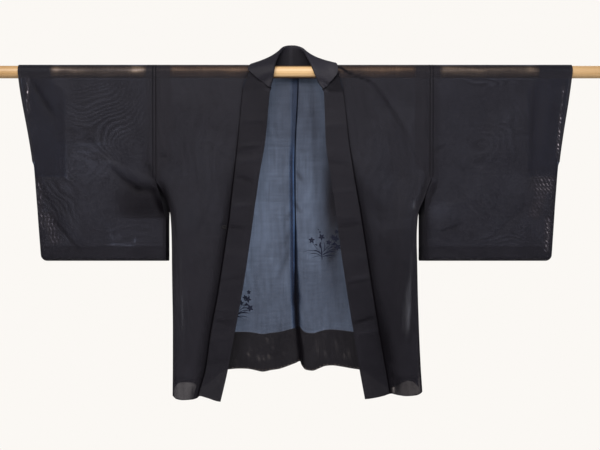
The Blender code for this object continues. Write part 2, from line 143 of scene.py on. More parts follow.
def addNode(tree, kind, inputs=None, **settings):
    # an input takes a plain value, a socket or another node, which then gives its first output
    node = tree.nodes.new(kind)
    for name, value in settings.items():
        setattr(node, name, value)
    for socket, value in (inputs or {}).items():
        if isinstance(value, bpy.types.Node):
            value = value.outputs[0]
        if isinstance(value, bpy.types.NodeSocket):
            tree.links.new(value, node.inputs[socket])
        else:
            node.inputs[socket].default_value = value
    return node


def newMaterial(name):
    material = bpy.data.materials.new(name)
    material.use_nodes = True
    tree = material.node_tree
    tree.nodes.clear()
    return material, tree


outline = table(
    "z side_right seam_right band_right side_left seam_left band_left",
    (0, -331, -106, -46, 331, 106, 52),
    (-39, -331, -119, -53.5, 331, 118.5, 73),
    (-170, -331, -131.5, -66.5, 331, 134, 78.5),
    (-254, -331, -140.5, -81, 331, 146.5, 90),
    (-280, -317, -143.5, -84.5, 323, 151, 94),
    (-307, -303.5, -146.5, -88.5, 313, 155.5, 98.5),
    (-326, -296.5, -148.5, -91.5, 304.5, 159, 101),
    (-345, -292.5, -150.5, -94, 298.5, 162, 104),
    (-400, -289.5, -158.5, -101.5, 295.5, 170.5, 110.5),
    (-520, -287.5, -177, -120, 297, 189, 128),
    (-622, -286, -195.5, -139, 300, 205, 144.5),
    (-715, -286, -208.5, -157, 304, 220.5, 159.5),
    (-780, -286.5, -226, -172.5, 308, 230.5, 171.5),
)
frontEdge = table(
    "x z",
    (-288, -771),
    (-285, -775),
    (-277, -781.5),
    (-262, -784),
    (-240, -782.8),
    (-228, -779),
    (-223, -774.5),
    (-205, -779),
    (-173, -788),
    (170, -782),
    (217, -774),
    (225, -770.8),
    (234, -768.7),
    (249, -772),
    (271, -774.5),
    (292, -773),
    (303, -769),
    (309, -763),
)
backEdge = table(
    "x z",
    (-290, -764),
    (-283, -756),
    (-277, -749),
    (-268, -747),
    (-240, -748.5),
    (-232, -757),
    (-222, -757),
    (-160, -716.5),
    (-127, -714),
    (-108, -714.7),
    (-92, -717.6),
    (-73, -721.5),
    (-53, -717.6),
    (-34, -715),
    (-21, -711),
    (-6, -705.5),
    (6, -701),
    (18, -696),
    (18.6, -701),
    (25, -712),
    (29, -716.5),
    (47, -719.5),
    (64, -713),
    (79, -707.5),
    (95, -706.4),
    (114, -708.7),
    (142, -713.7),
    (162, -716.8),
    (238, -760),
    (252, -755),
    (264, -748),
    (280, -743.5),
    (292, -747),
    (300, -755),
    (309, -764),
)
centreSeam = table(
    "z x",
    (0, 10),
    (-19, 12),
    (-168, 5.4),
    (-230, 4.2),
    (-377, 6),
    (-542, 7),
    (-619, 10),
    (-700, 18.3),
    (-715, 18.3),
)
depths = table(
    "z middle flank sleeve",
    (0, 17.4, 17.4, 17.4),
    (-60, 17.3, 16.6, 16.6),
    (-150, 18, 15.2, 15.2),
    (-254, 18.5, 13.8, 13.8),
    (-340, 19, 15, 12.2),
    (-450, 19.5, 17.5, 9.5),
    (-600, 20, 20.5, 9.5),
    (-800, 20.5, 22.5, 9.5),
)
hang = {
    "rodRadius": 17.4,  # the cloth's outer face over the rod
    "armhole": 331.0,
    "armholeEnd": -254.0,
    "frontHem": -780.0,
    "backHem": -714.0,
    "hemCurveTop": -400.0,
    "frontTurnUp": -377.0,
    "backTurnUp": -625.0,
    "flankFrom": 150.0,
    "flankTo": 300.0,
}
# large folds of the hang: face -1 for the fronts, 1 for the back
folds = table(
    "face x_top z_top x_foot z_foot half_width height",
    (1, 50, -60, 58, -330, 34, -3.0),
    (1, -120, -90, -140, -520, 60, 2.0),
    (1, 190, -120, 215, -640, 60, 2.5),
    (1, 10, -520, 15, -760, 70, 4.0),
    (-1, -262, -300, -264, -760, 30, 2.0),
    (-1, 270, -280, 272, -760, 30, 2.5),
    (-1, -210, -120, -225, -400, 45, -2.0),
    (-1, 215, -60, 250, -330, 45, -2.0),
    (-1, -455, -150, -320, -400, 45, -2.5),
    (-1, 480, -120, 430, -430, 60, 2.0),
    (1, -480, -90, -430, -420, 70, 2.0),
    (1, 470, -90, 520, -420, 70, -2.0),
)
# sharp creases, given one by one: shade is how much the cloth's overlap there keeps the light out
# painted shade: a crease's shade also darkens the thread's own colour, beside the light that the overlap
# keeps out
creases = table(
    "face x_top z_top x_foot z_foot half_width height shade",
    # right sleeve
    (-1, -434, -230, -404, -259, 10, -2.0, 0.40),
    (-1, -406, -258, -366, -282, 14, -2.8, 0.50),
    (-1, -376, -279, -320, -284, 16, -2.2, 0.40),
    (-1, -334, -284, -310, -342, 13, -1.6, 0.40),
    (-1, -456, -206, -404, -240, 14, 1.8, -0.10),
    (-1, -392, -240, -338, -268, 16, 1.8, -0.10),
    (-1, -622, -24, -574, -104, 11, -1.8, 0.44),
    (-1, -608, -262, -572, -332, 9, -1.6, 0.34),
    (-1, -578, -346, -514, -424, 6, -1.8, 0.62),
    (-1, -560, -330, -500, -402, 12, 1.6, -0.12),
    (-1, -352, -212, -326, -270, 10, -1.2, 0.28),
    (-1, -553, -60, -547, -236, 8, 0.6, 0.16),
    (-1, -520, -120, -440, -190, 20, 1.2, 0.0),
    (-1, -380, -90, -352, -180, 14, 1.2, 0.06),
    (-1, -408, -351, -306, -350, 4, 0.5, 0.24),
    # right front
    (-1, -316, -262, -286, -345, 12, -1.5, 0.50),
    (-1, -286, -345, -276, -400, 10, -1.0, 0.35),
    (-1, -322, -201, -300, -203, 5, -1.0, 0.35),
    (-1, -199, -180, -139, -221, 9, -0.8, 0.08),
    (-1, -300, -120, -262, -250, 16, 1.2, 0.0),
    (-1, -286, -420, -280, -760, 9, 0.5, 0.25),
    (-1, -322, -20, -322, -250, 7, 0.4, 0.10),
    (-1, -168, -368, -158, -378, 6, -0.8, 0.4),
    # left front
    (-1, 106, 14, 139, -7, 4.5, -1.2, 0.90),
    (-1, 139, -7, 187, -27, 4.5, -1.6, 0.80),
    (-1, 184, -24, 232, -88, 7, -1.8, 0.28),
    (-1, 226, -80, 272, -154, 8, -1.6, 0.34),
    (-1, 236, -116, 262, -162, 4, -0.8, 0.18),
    (-1, 204, -26, 286, -148, 9, 1.8, -0.16),
    (-1, 250, -130, 318, -215, 16, 1.4, -0.04),
    (-1, 318, -20, 318, -250, 7, 0.4, 0.16),
    (-1, 160, -268, 216, -350, 26, -1.8, 0.26),
    (-1, 205, -590, 240, -735, 26, -2.2, 0.40),
    (-1, 300, -420, 304, -760, 9, 0.5, 0.25),
    (-1, 318, -255, 300, -330, 9, -1.0, 0.40),
    (-1, 253, -738, 248, -772, 10, -0.6, 0.34),
    (-1, 297, -262, 305, -300, 5, 0.4, -0.15),
    # left sleeve
    (-1, 338, -188, 363, -180, 6, -1.2, 0.40),
    (-1, 333, -300, 345, -262, 9, -1.2, 0.35),
    (-1, 360, -330, 430, -300, 16, 1.4, -0.06),
    (-1, 520, -190, 400, -215, 24, 1.2, 0.0),
    (-1, 560, -320, 470, -400, 12, -1.2, 0.10),
    (-1, 345, -60, 352, -170, 10, -0.8, 0.10),
    (-1, 336, -420, 400, -438, 8, -1.0, 0.14),
    (-1, 346, -386, 400, -366, 7, -1.2, 0.32),
    (-1, 574, -40, 566, -236, 9, 0.6, 0.18),
    (-1, 610, -40, 596, -200, 18, 1.4, -0.10),
    (-1, 470, -60, 455, -160, 24, -1.2, 0.05),
    # collar bands
    (-1, -128, -120, -62, -112, 7, 1.0, -0.14),
    (-1, -132, -186, -84, -178, 6, 1.3, 0.38),
    (-1, -134, -216, -76, -206, 8, 1.0, -0.20),
    (-1, -134, -250, -98, -262, 7, -1.3, 0.43),
    (-1, -146, -322, -106, -318, 6, 1.3, -0.28),
    (-1, -152, -371, -118, -376, 6, -1.2, 0.38),
    (-1, -160, -432, -104, -440, 9, 1.0, -0.17),
    (-1, -176, -500, -120, -494, 8, -0.9, 0.24),
    (-1, -186, -566, -132, -572, 6, 1.2, -0.24),
    (-1, -192, -594, -136, -604, 7, -1.3, 0.34),
    (-1, -204, -640, -146, -634, 6, 1.2, -0.24),
    (-1, -214, -700, -156, -690, 9, -0.8, 0.20),
    (-1, 66, -130, 130, -122, 8, 0.9, -0.17),
    (-1, 74, -214, 136, -226, 8, -0.9, 0.24),
    (-1, 84, -290, 150, -282, 8, 0.9, -0.14),
    (-1, 96, -342, 150, -350, 6, 1.2, -0.24),
    (-1, 108, -372, 160, -364, 7, -1.2, 0.34),
    (-1, 124, -436, 178, -444, 8, 0.9, -0.20),
    (-1, 134, -497, 180, -488, 5, 1.6, -0.62),
    (-1, 134, -506, 180, -498, 5, -1.0, 0.34),
    (-1, 146, -601, 188, -588, 6, -1.6, 0.71),
    (-1, 148, -627, 200, -616, 6, 1.6, -0.48),
    (-1, 156, -690, 214, -700, 9, 0.9, -0.14),
    # back
    (1, 47, -50, 58, -310, 12, 1.4, 0.24),
    (1, 66, -120, 100, -370, 20, 1.0, 0.16),
    (1, 8, -238, 24, -262, 8, 1.0, 0.34),
    (1, 2, -312, 18, -336, 8, 1.0, 0.34),
    (1, -18, -356, -4, -336, 7, 1.0, 0.30),
    (1, -22, -420, -6, -376, 7, 1.0, 0.22),
    (1, -34, -492, -10, -428, 8, 1.2, 0.26),
    (1, 88, -456, 106, -412, 13, 1.0, 0.26),
    (1, 88, -545, 88, -712, 4, 0.5, 0.16),
    (1, -88, -480, -86, -600, 9, 0.5, 0.08),
    (1, 62, -590, 86, -548, 5, 0.6, 0.10),
    (1, -62, -80, -84, -330, 16, 0.8, 0.12),
    (1, 80, -400, 122, -610, 30, 0.6, 0.12),
    (1, -24, -205, -18, -420, 8, 0.0, 0.10),
    # the back's outer side
    (1, -250, -180, -190, -420, 18, 1.8, 0.10),
    (1, 240, -150, 262, -420, 18, -1.8, 0.10),
    (1, -200, -60, -262, -190, 12, -1.6, 0.16),
    (1, 180, -70, 250, -200, 14, 1.6, 0.10),
    (1, -600, -60, -540, -220, 14, -1.5, 0.12),
    (1, 590, -70, 520, -240, 16, 1.6, 0.10),
    (1, 380, -270, 470, -340, 14, -1.6, 0.14),
    (1, -360, -260, -440, -350, 15, 1.6, 0.12),
)
# long shallow ripples of soft cloth: direction across the ripple in degrees, length and height
ripples = table(
    "angle length height phase",
    (8, 148, 0.45, 0.3),
    (-17, 97, 0.28, 1.9),
    (31, 211, 0.5, 4.1),
    (-52, 173, 0.3, 2.6),
    (84, 126, 0.18, 5.2),
)
# places where the cloth lets through more or less light, and shows more or less of its thread: partly the
# layers behind, partly painted light and shade. Each stops below a height, where another layer behind begins
# or ends.
pools = table(
    "face x z half_x half_z stop light tone",
    (1, 10, -20, 300, 130, -900, -0.18, 0.0),
    (1, 16, -12, 90, 10, -900, -0.40, 0.0),
    (1, 66, -60, 40, 60, -900, 0.10, 0.0),
    (1, 10, -90, 400, 400, -158, -0.07, 0.0),
    (1, -62, -330, 60, 170, -900, 0.16, 0.0),
    (1, 40, -320, 26, 130, -900, 0.14, 0.0),
    (1, 100, -310, 26, 120, -900, -0.80, 0.0),
    (1, -150, -600, 70, 130, -900, -0.08, 0.0),
    (1, 130, -560, 50, 160, -900, -0.14, 0.0),
    (1, -30, -640, 18, 60, -900, -0.2, -0.1),
    (1, -95, -670, 50, 40, -900, 0.0, 0.14),
    (1, 60, -680, 40, 40, -900, 0.0, 0.10),
    (-1, 262, -722, 14, 9, -900, 0.7, 0.18),
    (-1, 236, -716, 10, 10, -900, 0.3, 0.12),
    (-1, -255, -708, 12, 10, -900, 0.4, 0.14),
    (-1, -595, -150, 40, 80, -900, 0.2, 0.06),
    (-1, -480, -250, 90, 90, -900, 0.10, 0.04),
    (-1, 235, -600, 70, 240, -900, -0.30, -0.36),
    (-1, -489, -222, 52, 44, -900, 0.30, 0.14),
    (-1, -462, -204, 30, 8, -900, -0.40, -0.22),
    (-1, 352, -332, 44, 24, -900, 0.36, 0.18),
    (-1, -356, -308, 62, 42, -350, -0.62, -0.34),
    (-1, -322, -322, 38, 44, -350, -0.42, -0.24),
    (-1, -372, -336, 40, 16, -350, -0.30, -0.24),
    (-1, -394, -312, 32, 36, -350, -0.34, -0.18),
    (-1, -560, -338, 16, 26, -900, -0.26, -0.16),
    (-1, -350, -205, 14, 60, -900, -0.15, -0.14),
    (-1, -310, -322, 12, 50, -900, -0.30, -0.30),
    (-1, -424, -386, 26, 32, -900, 0.28, 0.14),
    (-1, 160, -150, 200, 120, -900, 0.03, 0.02),
    (-1, 280, -120, 30, 50, -900, 0.14, 0.06),
    (-1, -200, -40, 120, 40, -900, 0.06, 0.06),
)
# narrow lines of light: down the fronts' sides, on the sleeves, and in the band of the back's hem
streaks = table(
    "face x_top z_top x_foot z_foot half_width light",
    (-1, -268, -440, -264, -600, 5.5, 1.15),
    (-1, -264, -540, -261, -622, 4.5, 1.25),
    (-1, -256, -500, -252, -604, 5, 0.5),
    (-1, 284, -430, 280, -590, 6, 1.4),
    (-1, 278, -490, 275, -634, 7.5, 1.8),
    (-1, 271, -520, 269, -630, 8.5, 1.7),
    (-1, 263, -560, 261, -626, 7, 1.0),
    (-1, 276, -560, 274, -636, 3, 0.6),
    (-1, 292, -440, 290, -612, 4, 0.5),
    (-1, 238, -724, 240, -780, 5, 1.2),
    (-1, -240, -752, -239, -770, 3, -0.4),
    (-1, -543, -178, -440, -174, 4.5, 0.80),
    (-1, -541, -184, -541, -262, 4.5, 0.65),
    (-1, -522, -193, -460, -189, 4, 0.50),
    (-1, -434, -413, -384, -416, 3, 3.0),
    (-1, -441, -366, -432, -408, 5, 0.6),
    (-1, -380, -396, -377, -412, 3, 1.5),
    (-1, 288, -312, 290, -329, 2.2, 4.0),
    (-1, 276, -84, 302, -150, 5, 0.24),
    (-1, 292, -166, 316, -204, 6, 0.30),
    (-1, 262, -88, 300, -96, 5, 0.14),
    (-1, 222, -250, 224, -420, 12, 0.16),
    (-1, 254, -230, 258, -380, 10, 0.14),
    (-1, 300, -240, 280, -280, 8, 0.18),
    (1, -107, -674, -107, -684, 4, 1.5),
    (1, -101, -661, -99, -671, 4, 1.1),
    (1, -85, -678, -83, -690, 4, 1.4),
    (1, -73, -677, -71, -687, 3, 1.2),
    (1, -60, -677, -54, -689, 4, 1.4),
    (1, -63, -634, -60, -648, 3, 1.1),
    (1, -53, -636, -52, -650, 3, 1.0),
    (1, -48, -656, -50, -668, 3, 0.7),
    (1, -76, -646, -78, -656, 3, 0.6),
    (1, -88, -654, -90, -664, 3, 0.6),
    (1, -26, -672, -22, -684, 3.4, 1.1),
    (1, -134, -690, -137, -698, 3.4, 0.9),
    (1, 58, -640, 60, -676, 4, 0.6),
    (1, 76, -676, 78, -690, 3, 0.8),
    (1, 104, -650, 105, -684, 3, 0.5),
    (1, 122, -680, 126, -692, 3, 0.9),
    (1, 134, -672, 137, -690, 3, 0.8),
    (-1, -236, -260, -232, -430, 14, 0.10),
)
hangEase = {
    "calmAcross": 8.0,  # folds fade out by the armholes and near the rod
    "easeAcross": 60.0,
    "calmDown": 20.0,
    "easeDown": 80.0,
    "creaseCalm": 2.0,
    "creaseEase": 14.0,
    "foldTail": 0.15,
    "creaseTail": 0.3,
    "streakTail": 0.2,
}


def linesOf(rows):
    # each line's ends and half width, with the box that it can reach, kept for each face
    kept = {}
    for i in range(len(rows["x_top"])):
        topX, topZ, footX, footZ = (rows[name][i] for name in ("x_top", "z_top", "x_foot", "z_foot"))
        half = rows["half_width"][i]
        reach = 0.35 * math.hypot(footX - topX, footZ - topZ) + 2 * half
        box = (min(topX, footX) - reach, max(topX, footX) + reach)
        box += (min(topZ, footZ) - reach, max(topZ, footZ) + reach)
        kept.setdefault(rows["face"][i], []).append((i, topX, topZ, footX - topX, footZ - topZ, half, box))
    return kept


def linesNear(lines, face, x, z, tail, wide=1.6):
    # the lines that pass close by a point: each one's row, how far it has faded in, and how far off it is
    for i, topX, topZ, runX, runZ, half, box in lines.get(face, ()):
        if not (box[0] < x < box[1] and box[2] < z < box[3]):
            continue
        length = runX * runX + runZ * runZ
        along = ((x - topX) * runX + (z - topZ) * runZ) / length
        across = abs((x - topX) * runZ - (z - topZ) * runX) / math.sqrt(length) / half
        if across < wide and -tail < along < 1 + tail:
            yield i, ease((along / tail + 1) / 2) * ease(((1 - along) / tail + 1) / 2), across


foldLines, creaseLines, streakLines = linesOf(folds), linesOf(creases), linesOf(streaks)


def foldHeight(face, x, z):
    height = 0.0
    for i, fade, across in linesNear(foldLines, face, x, z, hangEase["foldTail"], 1.0):
        height += folds["height"][i] * fade * (0.5 + 0.5 * math.cos(math.pi * across))
    return height


def lineBell(across):
    # 1 on a line, next to nothing one and a half of its half widths off
    return math.exp(-2.6 * across * across)


def creaseAt(face, x, z):
    # height and shade of the sharp creases at a point
    height = shade = 0.0
    for i, fade, across in linesNear(creaseLines, face, x, z, hangEase["creaseTail"]):
        bow = fade * lineBell(across)
        height += creases["height"][i] * bow
        shade += creases["shade"][i] * bow
    return height, shade


def streakAt(face, x, z):
    light = 0.0
    for i, fade, across in linesNear(streakLines, face, x, z, hangEase["streakTail"]):
        light += streaks["light"][i] * fade * lineBell(across)
    return light


def lightAt(face, x, z):
    # how freely the light behind comes through here, and how bright the thread looks
    shade = creaseAt(face, x, z)[1]
    # painted shade and light: creases and pools darken or lighten the thread's own colour as well as the
    # light let through
    light, tone = 1 - 0.9 * shade, 1 - 0.85 * shade
    for i, side in enumerate(pools["face"]):
        if side == face:
            awayX = (x - pools["x"][i]) / pools["half_x"][i]
            awayZ = (z - pools["z"][i]) / pools["half_z"][i]
            away = awayX**2 + awayZ**2
            if away < 5:
                here = math.exp(-away) * ease((z - pools["stop"][i]) / 3 + 0.5)
                light += pools["light"][i] * here
                tone += pools["tone"][i] * here
    return max(light, 0.02), max(tone, 0.05)


def rippleHeight(face, x, z):
    height = 0.0
    for i, angle in enumerate(ripples["angle"]):
        turn = math.radians(angle)
        across = x * math.cos(turn) + z * math.sin(turn)
        phase = 2 * math.pi * across / ripples["length"][i] + ripples["phase"][i] * face
        height += ripples["height"][i] * math.sin(phase)
    return height


def edgeAt(edge, side, z):
    # where the side, the collar's seam or the collar band's inner edge stands at a height
    return readTable(outline, "z", z, edge + "_" + side)


def bodyDepth(x, z):
    middle = readTable(depths, "z", z, "middle")
    flank = readTable(depths, "z", z, "flank")
    return mix(middle, flank, ease((abs(x) - hang["flankFrom"]) / (hang["flankTo"] - hang["flankFrom"])))


def hangPoint(face, x, z, depth):
    # a point of the cloth's outer face below the rod
    offSeam = abs(abs(x) - hang["armhole"])
    across = ease((offSeam - hangEase["calmAcross"]) / hangEase["easeAcross"])
    down = ease((-z - hangEase["calmDown"]) / hangEase["easeDown"])
    nearSeam = 1.0
    if z > hang["armholeEnd"]:
        nearSeam = ease((offSeam - hangEase["creaseCalm"]) / hangEase["creaseEase"])
    nearRod = ease(-z / hangEase["calmDown"])
    height = across * down * (foldHeight(face, x, z) + rippleHeight(face, x, z))
    height += nearSeam * nearRod * creaseAt(face, x, z)[0]
    return Vector((x, face * (depth + height), z))


def overRod(x, turn, radius=None):
    # a point on the cloth's outer face over the rod: 180 degrees in front, 90 on top, 0 behind
    angle = math.radians(turn)
    radius = radius or hang["rodRadius"]
    return Vector((x, radius * math.cos(angle), radius * math.sin(angle)))


def hemShare(z, hem):
    return max((z - hang["hemCurveTop"]) / (hem - hang["hemCurveTop"]), 0)


def frontPoint(x, z):
    drop = (readTable(frontEdge, "x", x, "z") - hang["frontHem"]) * hemShare(z, hang["frontHem"])
    return hangPoint(-1, x, z + drop, bodyDepth(x, z))


def backPoint(x, z):
    drop = (readTable(backEdge, "x", x, "z") - hang["backHem"]) * hemShare(z, hang["backHem"])
    return hangPoint(1, x, z + drop, bodyDepth(x, z))


# What each point of a cloth carries for its finish. folded and dense are the distances in millimetres
# inside the doubled and the trebled cloth, seam the distance from a sewn line. light and tone scale the
# light let through and the thread's shade, both also carrying painted shade and light, cool turns the light
# bluer, open is where the weave is drawn apart, glint where the holes of two layers meet, bare where light
# passes whatever lies there, and beat counts the moire's rings, whose strength is fringe. cool may be below
# 0, for warmer light, or above 1.
markNames = ("folded", "dense", "seam", "light", "tone", "cool", "open", "glint", "bare", "beat", "fringe")
farOff = 20.0


def marks(
    folded=-farOff,
    dense=-farOff,
    seam=farOff,
    lit=(1.0, 1.0),
    cool=0.0,
    drawn=0.0,
    glint=0.0,
    bare=0.0,
    beat=0.0,
    fringe=0.0,
):
    edges = [min(max(v, -farOff), farOff) for v in (folded, dense, seam)]
    return edges + [*lit, cool, drawn, glint, bare, beat, fringe]


def gridFaces(rows, columns, flip):
    faces = []
    for r in range(rows - 1):
        for c in range(columns - 1):
            a = r * columns + c
            face = (a, a + 1, a + columns + 1, a + columns)
            faces.append(face[::-1] if flip else face)
    return faces


def makeCloth(name, points, faces, pointMarks, pattern, material, wall, offset=-1.0):
    # wall is the thickness of single and of doubled cloth; pattern is the place of each point on the flat cut
    data = bpy.data.meshes.new(name)
    data.from_pydata([p * mm for p in points], [], faces)
    for i, mark in enumerate(markNames):
        data.attributes.new(mark, "FLOAT", "POINT").data.foreach_set("value", [m[i] for m in pointMarks])
    flat = data.uv_layers.new(name="cut")
    for loop in data.loops:
        u, v = pattern[loop.vertex_index]
        flat.data[loop.index].uv = (u * mm, v * mm)
    obj = newObject(name, data)
    group = obj.vertex_groups.new(name="thick")
    for i, mark in enumerate(pointMarks):
        group.add([i], ease((max(mark[0], mark[1]) + 1) / 2), "REPLACE")
    thicken = obj.modifiers.new("wall", "SOLIDIFY")
    thicken.thickness = wall[1] * mm
    thicken.offset = offset
    thicken.use_even_offset = True
    thicken.use_quality_normals = True
    thicken.vertex_group = group.name
    thicken.thickness_vertex_group = wall[0] / wall[1]
    solid = toMesh(obj)
    solid.materials.clear()
    solid.materials.append(material)
    solid.shade_smooth()
    solid.set_sharp_from_angle(angle=sharpTurn)
    return obj


def toMesh(obj):
    # replaces the object's data with what its modifiers make
    graph = bpy.context.evaluated_depsgraph_get()
    shown = obj.evaluated_get(graph)
    data = bpy.data.meshes.new_from_object(shown, preserve_all_data_layers=True, depsgraph=graph)
    obj.modifiers.clear()
    obj.vertex_groups.clear()
    obj.data = data
    return data


def place(obj, slot, *nodes):
    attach(obj, "root")
    if nodes:
        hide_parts(*nodes)
    return obj


silkLook = {
    "thread": "#1a1920",
    "threadDeep": "#050406",
    "roughness": 0.6,
    "specular": 0.1,
    "sheen": 0.02,
    "clearLight": "#fbf8fa",  # what one face of the cloth leaves of white light
    "coolLight": "#cbe0fe",
    "warpPitch": 2.4,  # pairs of warp threads really stand 0.6 mm apart, drawn coarser so that they show
    "barPitch": 3.0,  # rows of leno holes, really about 1.6 mm apart, drawn coarser too
    "weaveDepth": 0.09,
    "slubWidth": 3.0,
    "slubLength": 80.0,
    "slubDepth": 0.10,
    "mottleSize": 60.0,
    "mottleDepth": 0.10,
    "ringDepth": 0.5,
    "ringTone": 0.42,
    "glintAcross": 8.8,
    "glintDown": 10.5,
    "glintShine": 6.0,
    "glintLean": 0.16,  # how far the rows of dots lean on the right sleeve, and on the left
    "glintLeanLeft": 0.75,
    "dashDepth": 0.30,  # how much the dots of a row part from each other
    "edgeSoft": 0.7,  # half the blur of a doubled edge
    "sewnLine": (0.6, 2.6, 0.1),  # from here to here off a seam its dark line fades, and what it lets through
    "glintSway": 1.5,  # how far the rows of dots sway, in radians, and over what height
    "swayHeight": 31.0,
}


def sheerSilk(name, single, folded, dense, drawnOpen=0.5):
    # Sheer leno-woven silk, dull and fine: near-black threads with rows of holes between them that the light
    # behind comes through. Two layers beat against each other in soft wood-grain rings, and hems and seam
    # allowances show as darker bands. single, folded, dense and drawnOpen are what each face lets through.
    look = silkLook
    material, tree = newMaterial(name)
    mark = {}
    for which in markNames:
        mark[which] = addNode(tree, "ShaderNodeAttribute", attribute_name=which).outputs["Fac"]
    cut = addNode(tree, "ShaderNodeUVMap", uv_map="cut")
    cutAxes = addNode(tree, "ShaderNodeSeparateXYZ", {0: cut}).outputs
    spot = addNode(tree, "ShaderNodeTexCoord").outputs["Object"]
    axes = addNode(tree, "ShaderNodeSeparateXYZ", {0: spot}).outputs

    # warp threads, rows of holes, and uneven thicker threads both ways
    fine, long = 1 / (look["slubWidth"] * mm), 1 / (look["slubLength"] * mm)
    waves, slubs = [], []
    for axis, pitch, stretch in (("X", "warpPitch", (fine, long, 1.0)), ("Y", "barPitch", (long, fine, 1.0))):
        wave = {0: cutAxes[axis], 1: 2 * math.pi / (look[pitch] * mm)}
        wave = addNode(tree, "ShaderNodeMath", wave, operation="MULTIPLY")
        waves.append(addNode(tree, "ShaderNodeMath", {0: wave}, operation="SINE"))
        slub = addNode(tree, "ShaderNodeMapping", {0: cut, 3: stretch})
        slubs.append(addNode(tree, "ShaderNodeTexNoise", {"Vector": slub, "Scale": 1.0, "Detail": 2.0}))
    net = addNode(tree, "ShaderNodeMath", {0: waves[0], 1: waves[1]}, operation="ADD")
    net = addNode(tree, "ShaderNodeMath", {0: net, 1: look["weaveDepth"], 2: 1.0}, operation="MULTIPLY_ADD")
    slubs = addNode(tree, "ShaderNodeMath", {0: slubs[0], 1: slubs[1]}, operation="ADD")
    low, high = 1 - look["slubDepth"], 1 + look["slubDepth"]
    slubs = addNode(tree, "ShaderNodeMapRange", {0: slubs, 1: 0.7, 2: 1.3, 3: low, 4: high})
    mottle = {"Vector": spot, "Scale": 1 / (look["mottleSize"] * mm), "Detail": 4.0, "Roughness": 0.65}
    mottle = addNode(tree, "ShaderNodeTexNoise", mottle)
    low, high = 1 - look["mottleDepth"], 1 + look["mottleDepth"]
    mottle = addNode(tree, "ShaderNodeMapRange", {0: mottle, 1: 0.3, 2: 0.7, 3: low, 4: high})
    weave = addNode(tree, "ShaderNodeMath", {0: net, 1: slubs}, operation="MULTIPLY")
    weave = addNode(tree, "ShaderNodeMath", {0: weave, 1: mottle}, operation="MULTIPLY")

    # the moire's rings
    turn = addNode(tree, "ShaderNodeMath", {0: mark["beat"], 1: 2 * math.pi}, operation="MULTIPLY")
    ring = addNode(tree, "ShaderNodeMath", {0: turn}, operation="SINE")
    ring = addNode(tree, "ShaderNodeMath", {0: ring, 1: mark["fringe"]}, operation="MULTIPLY")
    ringLight, ringTone = (
        addNode(tree, "ShaderNodeMath", {0: ring, 1: look[depth], 2: 1.0}, operation="MULTIPLY_ADD")
        for depth in ("ringDepth", "ringTone")
    )

    # rows of bright dots where holes meet
    lean = {0: axes["X"], 1: -mm, 2: mm, 3: look["glintLean"], 4: look["glintLeanLeft"]}
    lean = addNode(tree, "ShaderNodeMapRange", lean)
    lean = addNode(tree, "ShaderNodeMath", {0: axes["Z"], 1: lean, 2: axes["X"]}, operation="MULTIPLY_ADD")
    pitch = 2 * math.pi / (look["glintAcross"] * mm)
    lean = addNode(tree, "ShaderNodeMath", {0: lean, 1: pitch}, operation="MULTIPLY")
    rows = []
    for height in ("swayHeight", "glintDown"):
        row = {0: axes["Z"], 1: 2 * math.pi / (look[height] * mm)}
        row = addNode(tree, "ShaderNodeMath", row, operation="MULTIPLY")
        rows.append(addNode(tree, "ShaderNodeMath", {0: row}, operation="SINE"))
    sway = {0: rows[0], 1: look["glintSway"], 2: lean}
    lean = addNode(tree, "ShaderNodeMath", sway, operation="MULTIPLY_ADD")
    lean = addNode(tree, "ShaderNodeMath", {0: lean}, operation="SINE")
    dash = {0: rows[1], 1: look["dashDepth"], 2: 1 - look["dashDepth"]}
    dash = addNode(tree, "ShaderNodeMath", dash, operation="MULTIPLY_ADD")
    dots = addNode(tree, "ShaderNodeMath", {0: lean, 1: dash}, operation="MULTIPLY")
    dots = addNode(tree, "ShaderNodeMapRange", {0: dots, 1: 0.3, 2: 0.7})
    uneven = addNode(tree, "ShaderNodeTexNoise", {"Vector": spot, "Scale": 70.0, "Detail": 1.0})
    uneven = addNode(tree, "ShaderNodeMapRange", {0: uneven, 1: 0.34, 2: 0.5})
    for factor in (uneven, mark["glint"]):
        dots = addNode(tree, "ShaderNodeMath", {0: dots, 1: factor}, operation="MULTIPLY")

    # the light that each face lets through
    passed = addNode(tree, "ShaderNodeMapRange", {0: mark["open"], 3: single, 4: drawnOpen})
    for edge, share in (("folded", folded), ("dense", dense)):
        edge = {0: mark[edge], 1: -look["edgeSoft"], 2: look["edgeSoft"], 3: passed, 4: share}
        passed = addNode(tree, "ShaderNodeMapRange", edge)
    start, finish, least = look["sewnLine"]
    sewn = addNode(tree, "ShaderNodeMapRange", {0: mark["seam"], 1: start, 2: finish, 3: least, 4: 1.0})
    lit, shown = mark["light"], mark["tone"]
    for factor in (sewn, weave, ringLight):
        lit = addNode(tree, "ShaderNodeMath", {0: lit, 1: factor}, operation="MULTIPLY")
    passed = addNode(tree, "ShaderNodeMath", {0: passed, 1: lit}, operation="MULTIPLY")
    passed = addNode(tree, "ShaderNodeMath", {0: passed, 1: mark["bare"]}, operation="MAXIMUM")
    passed = addNode(tree, "ShaderNodeMath", {0: passed, 1: dots}, operation="MAXIMUM", use_clamp=True)
    tint = {0: mark["cool"], 6: linear(look["clearLight"]), 7: linear(look["coolLight"])}
    tint = addNode(tree, "ShaderNodeMix", tint, data_type="RGBA", clamp_factor=False)
    holes = addNode(tree, "ShaderNodeBsdfTransparent", {"Color": tint.outputs[2]})

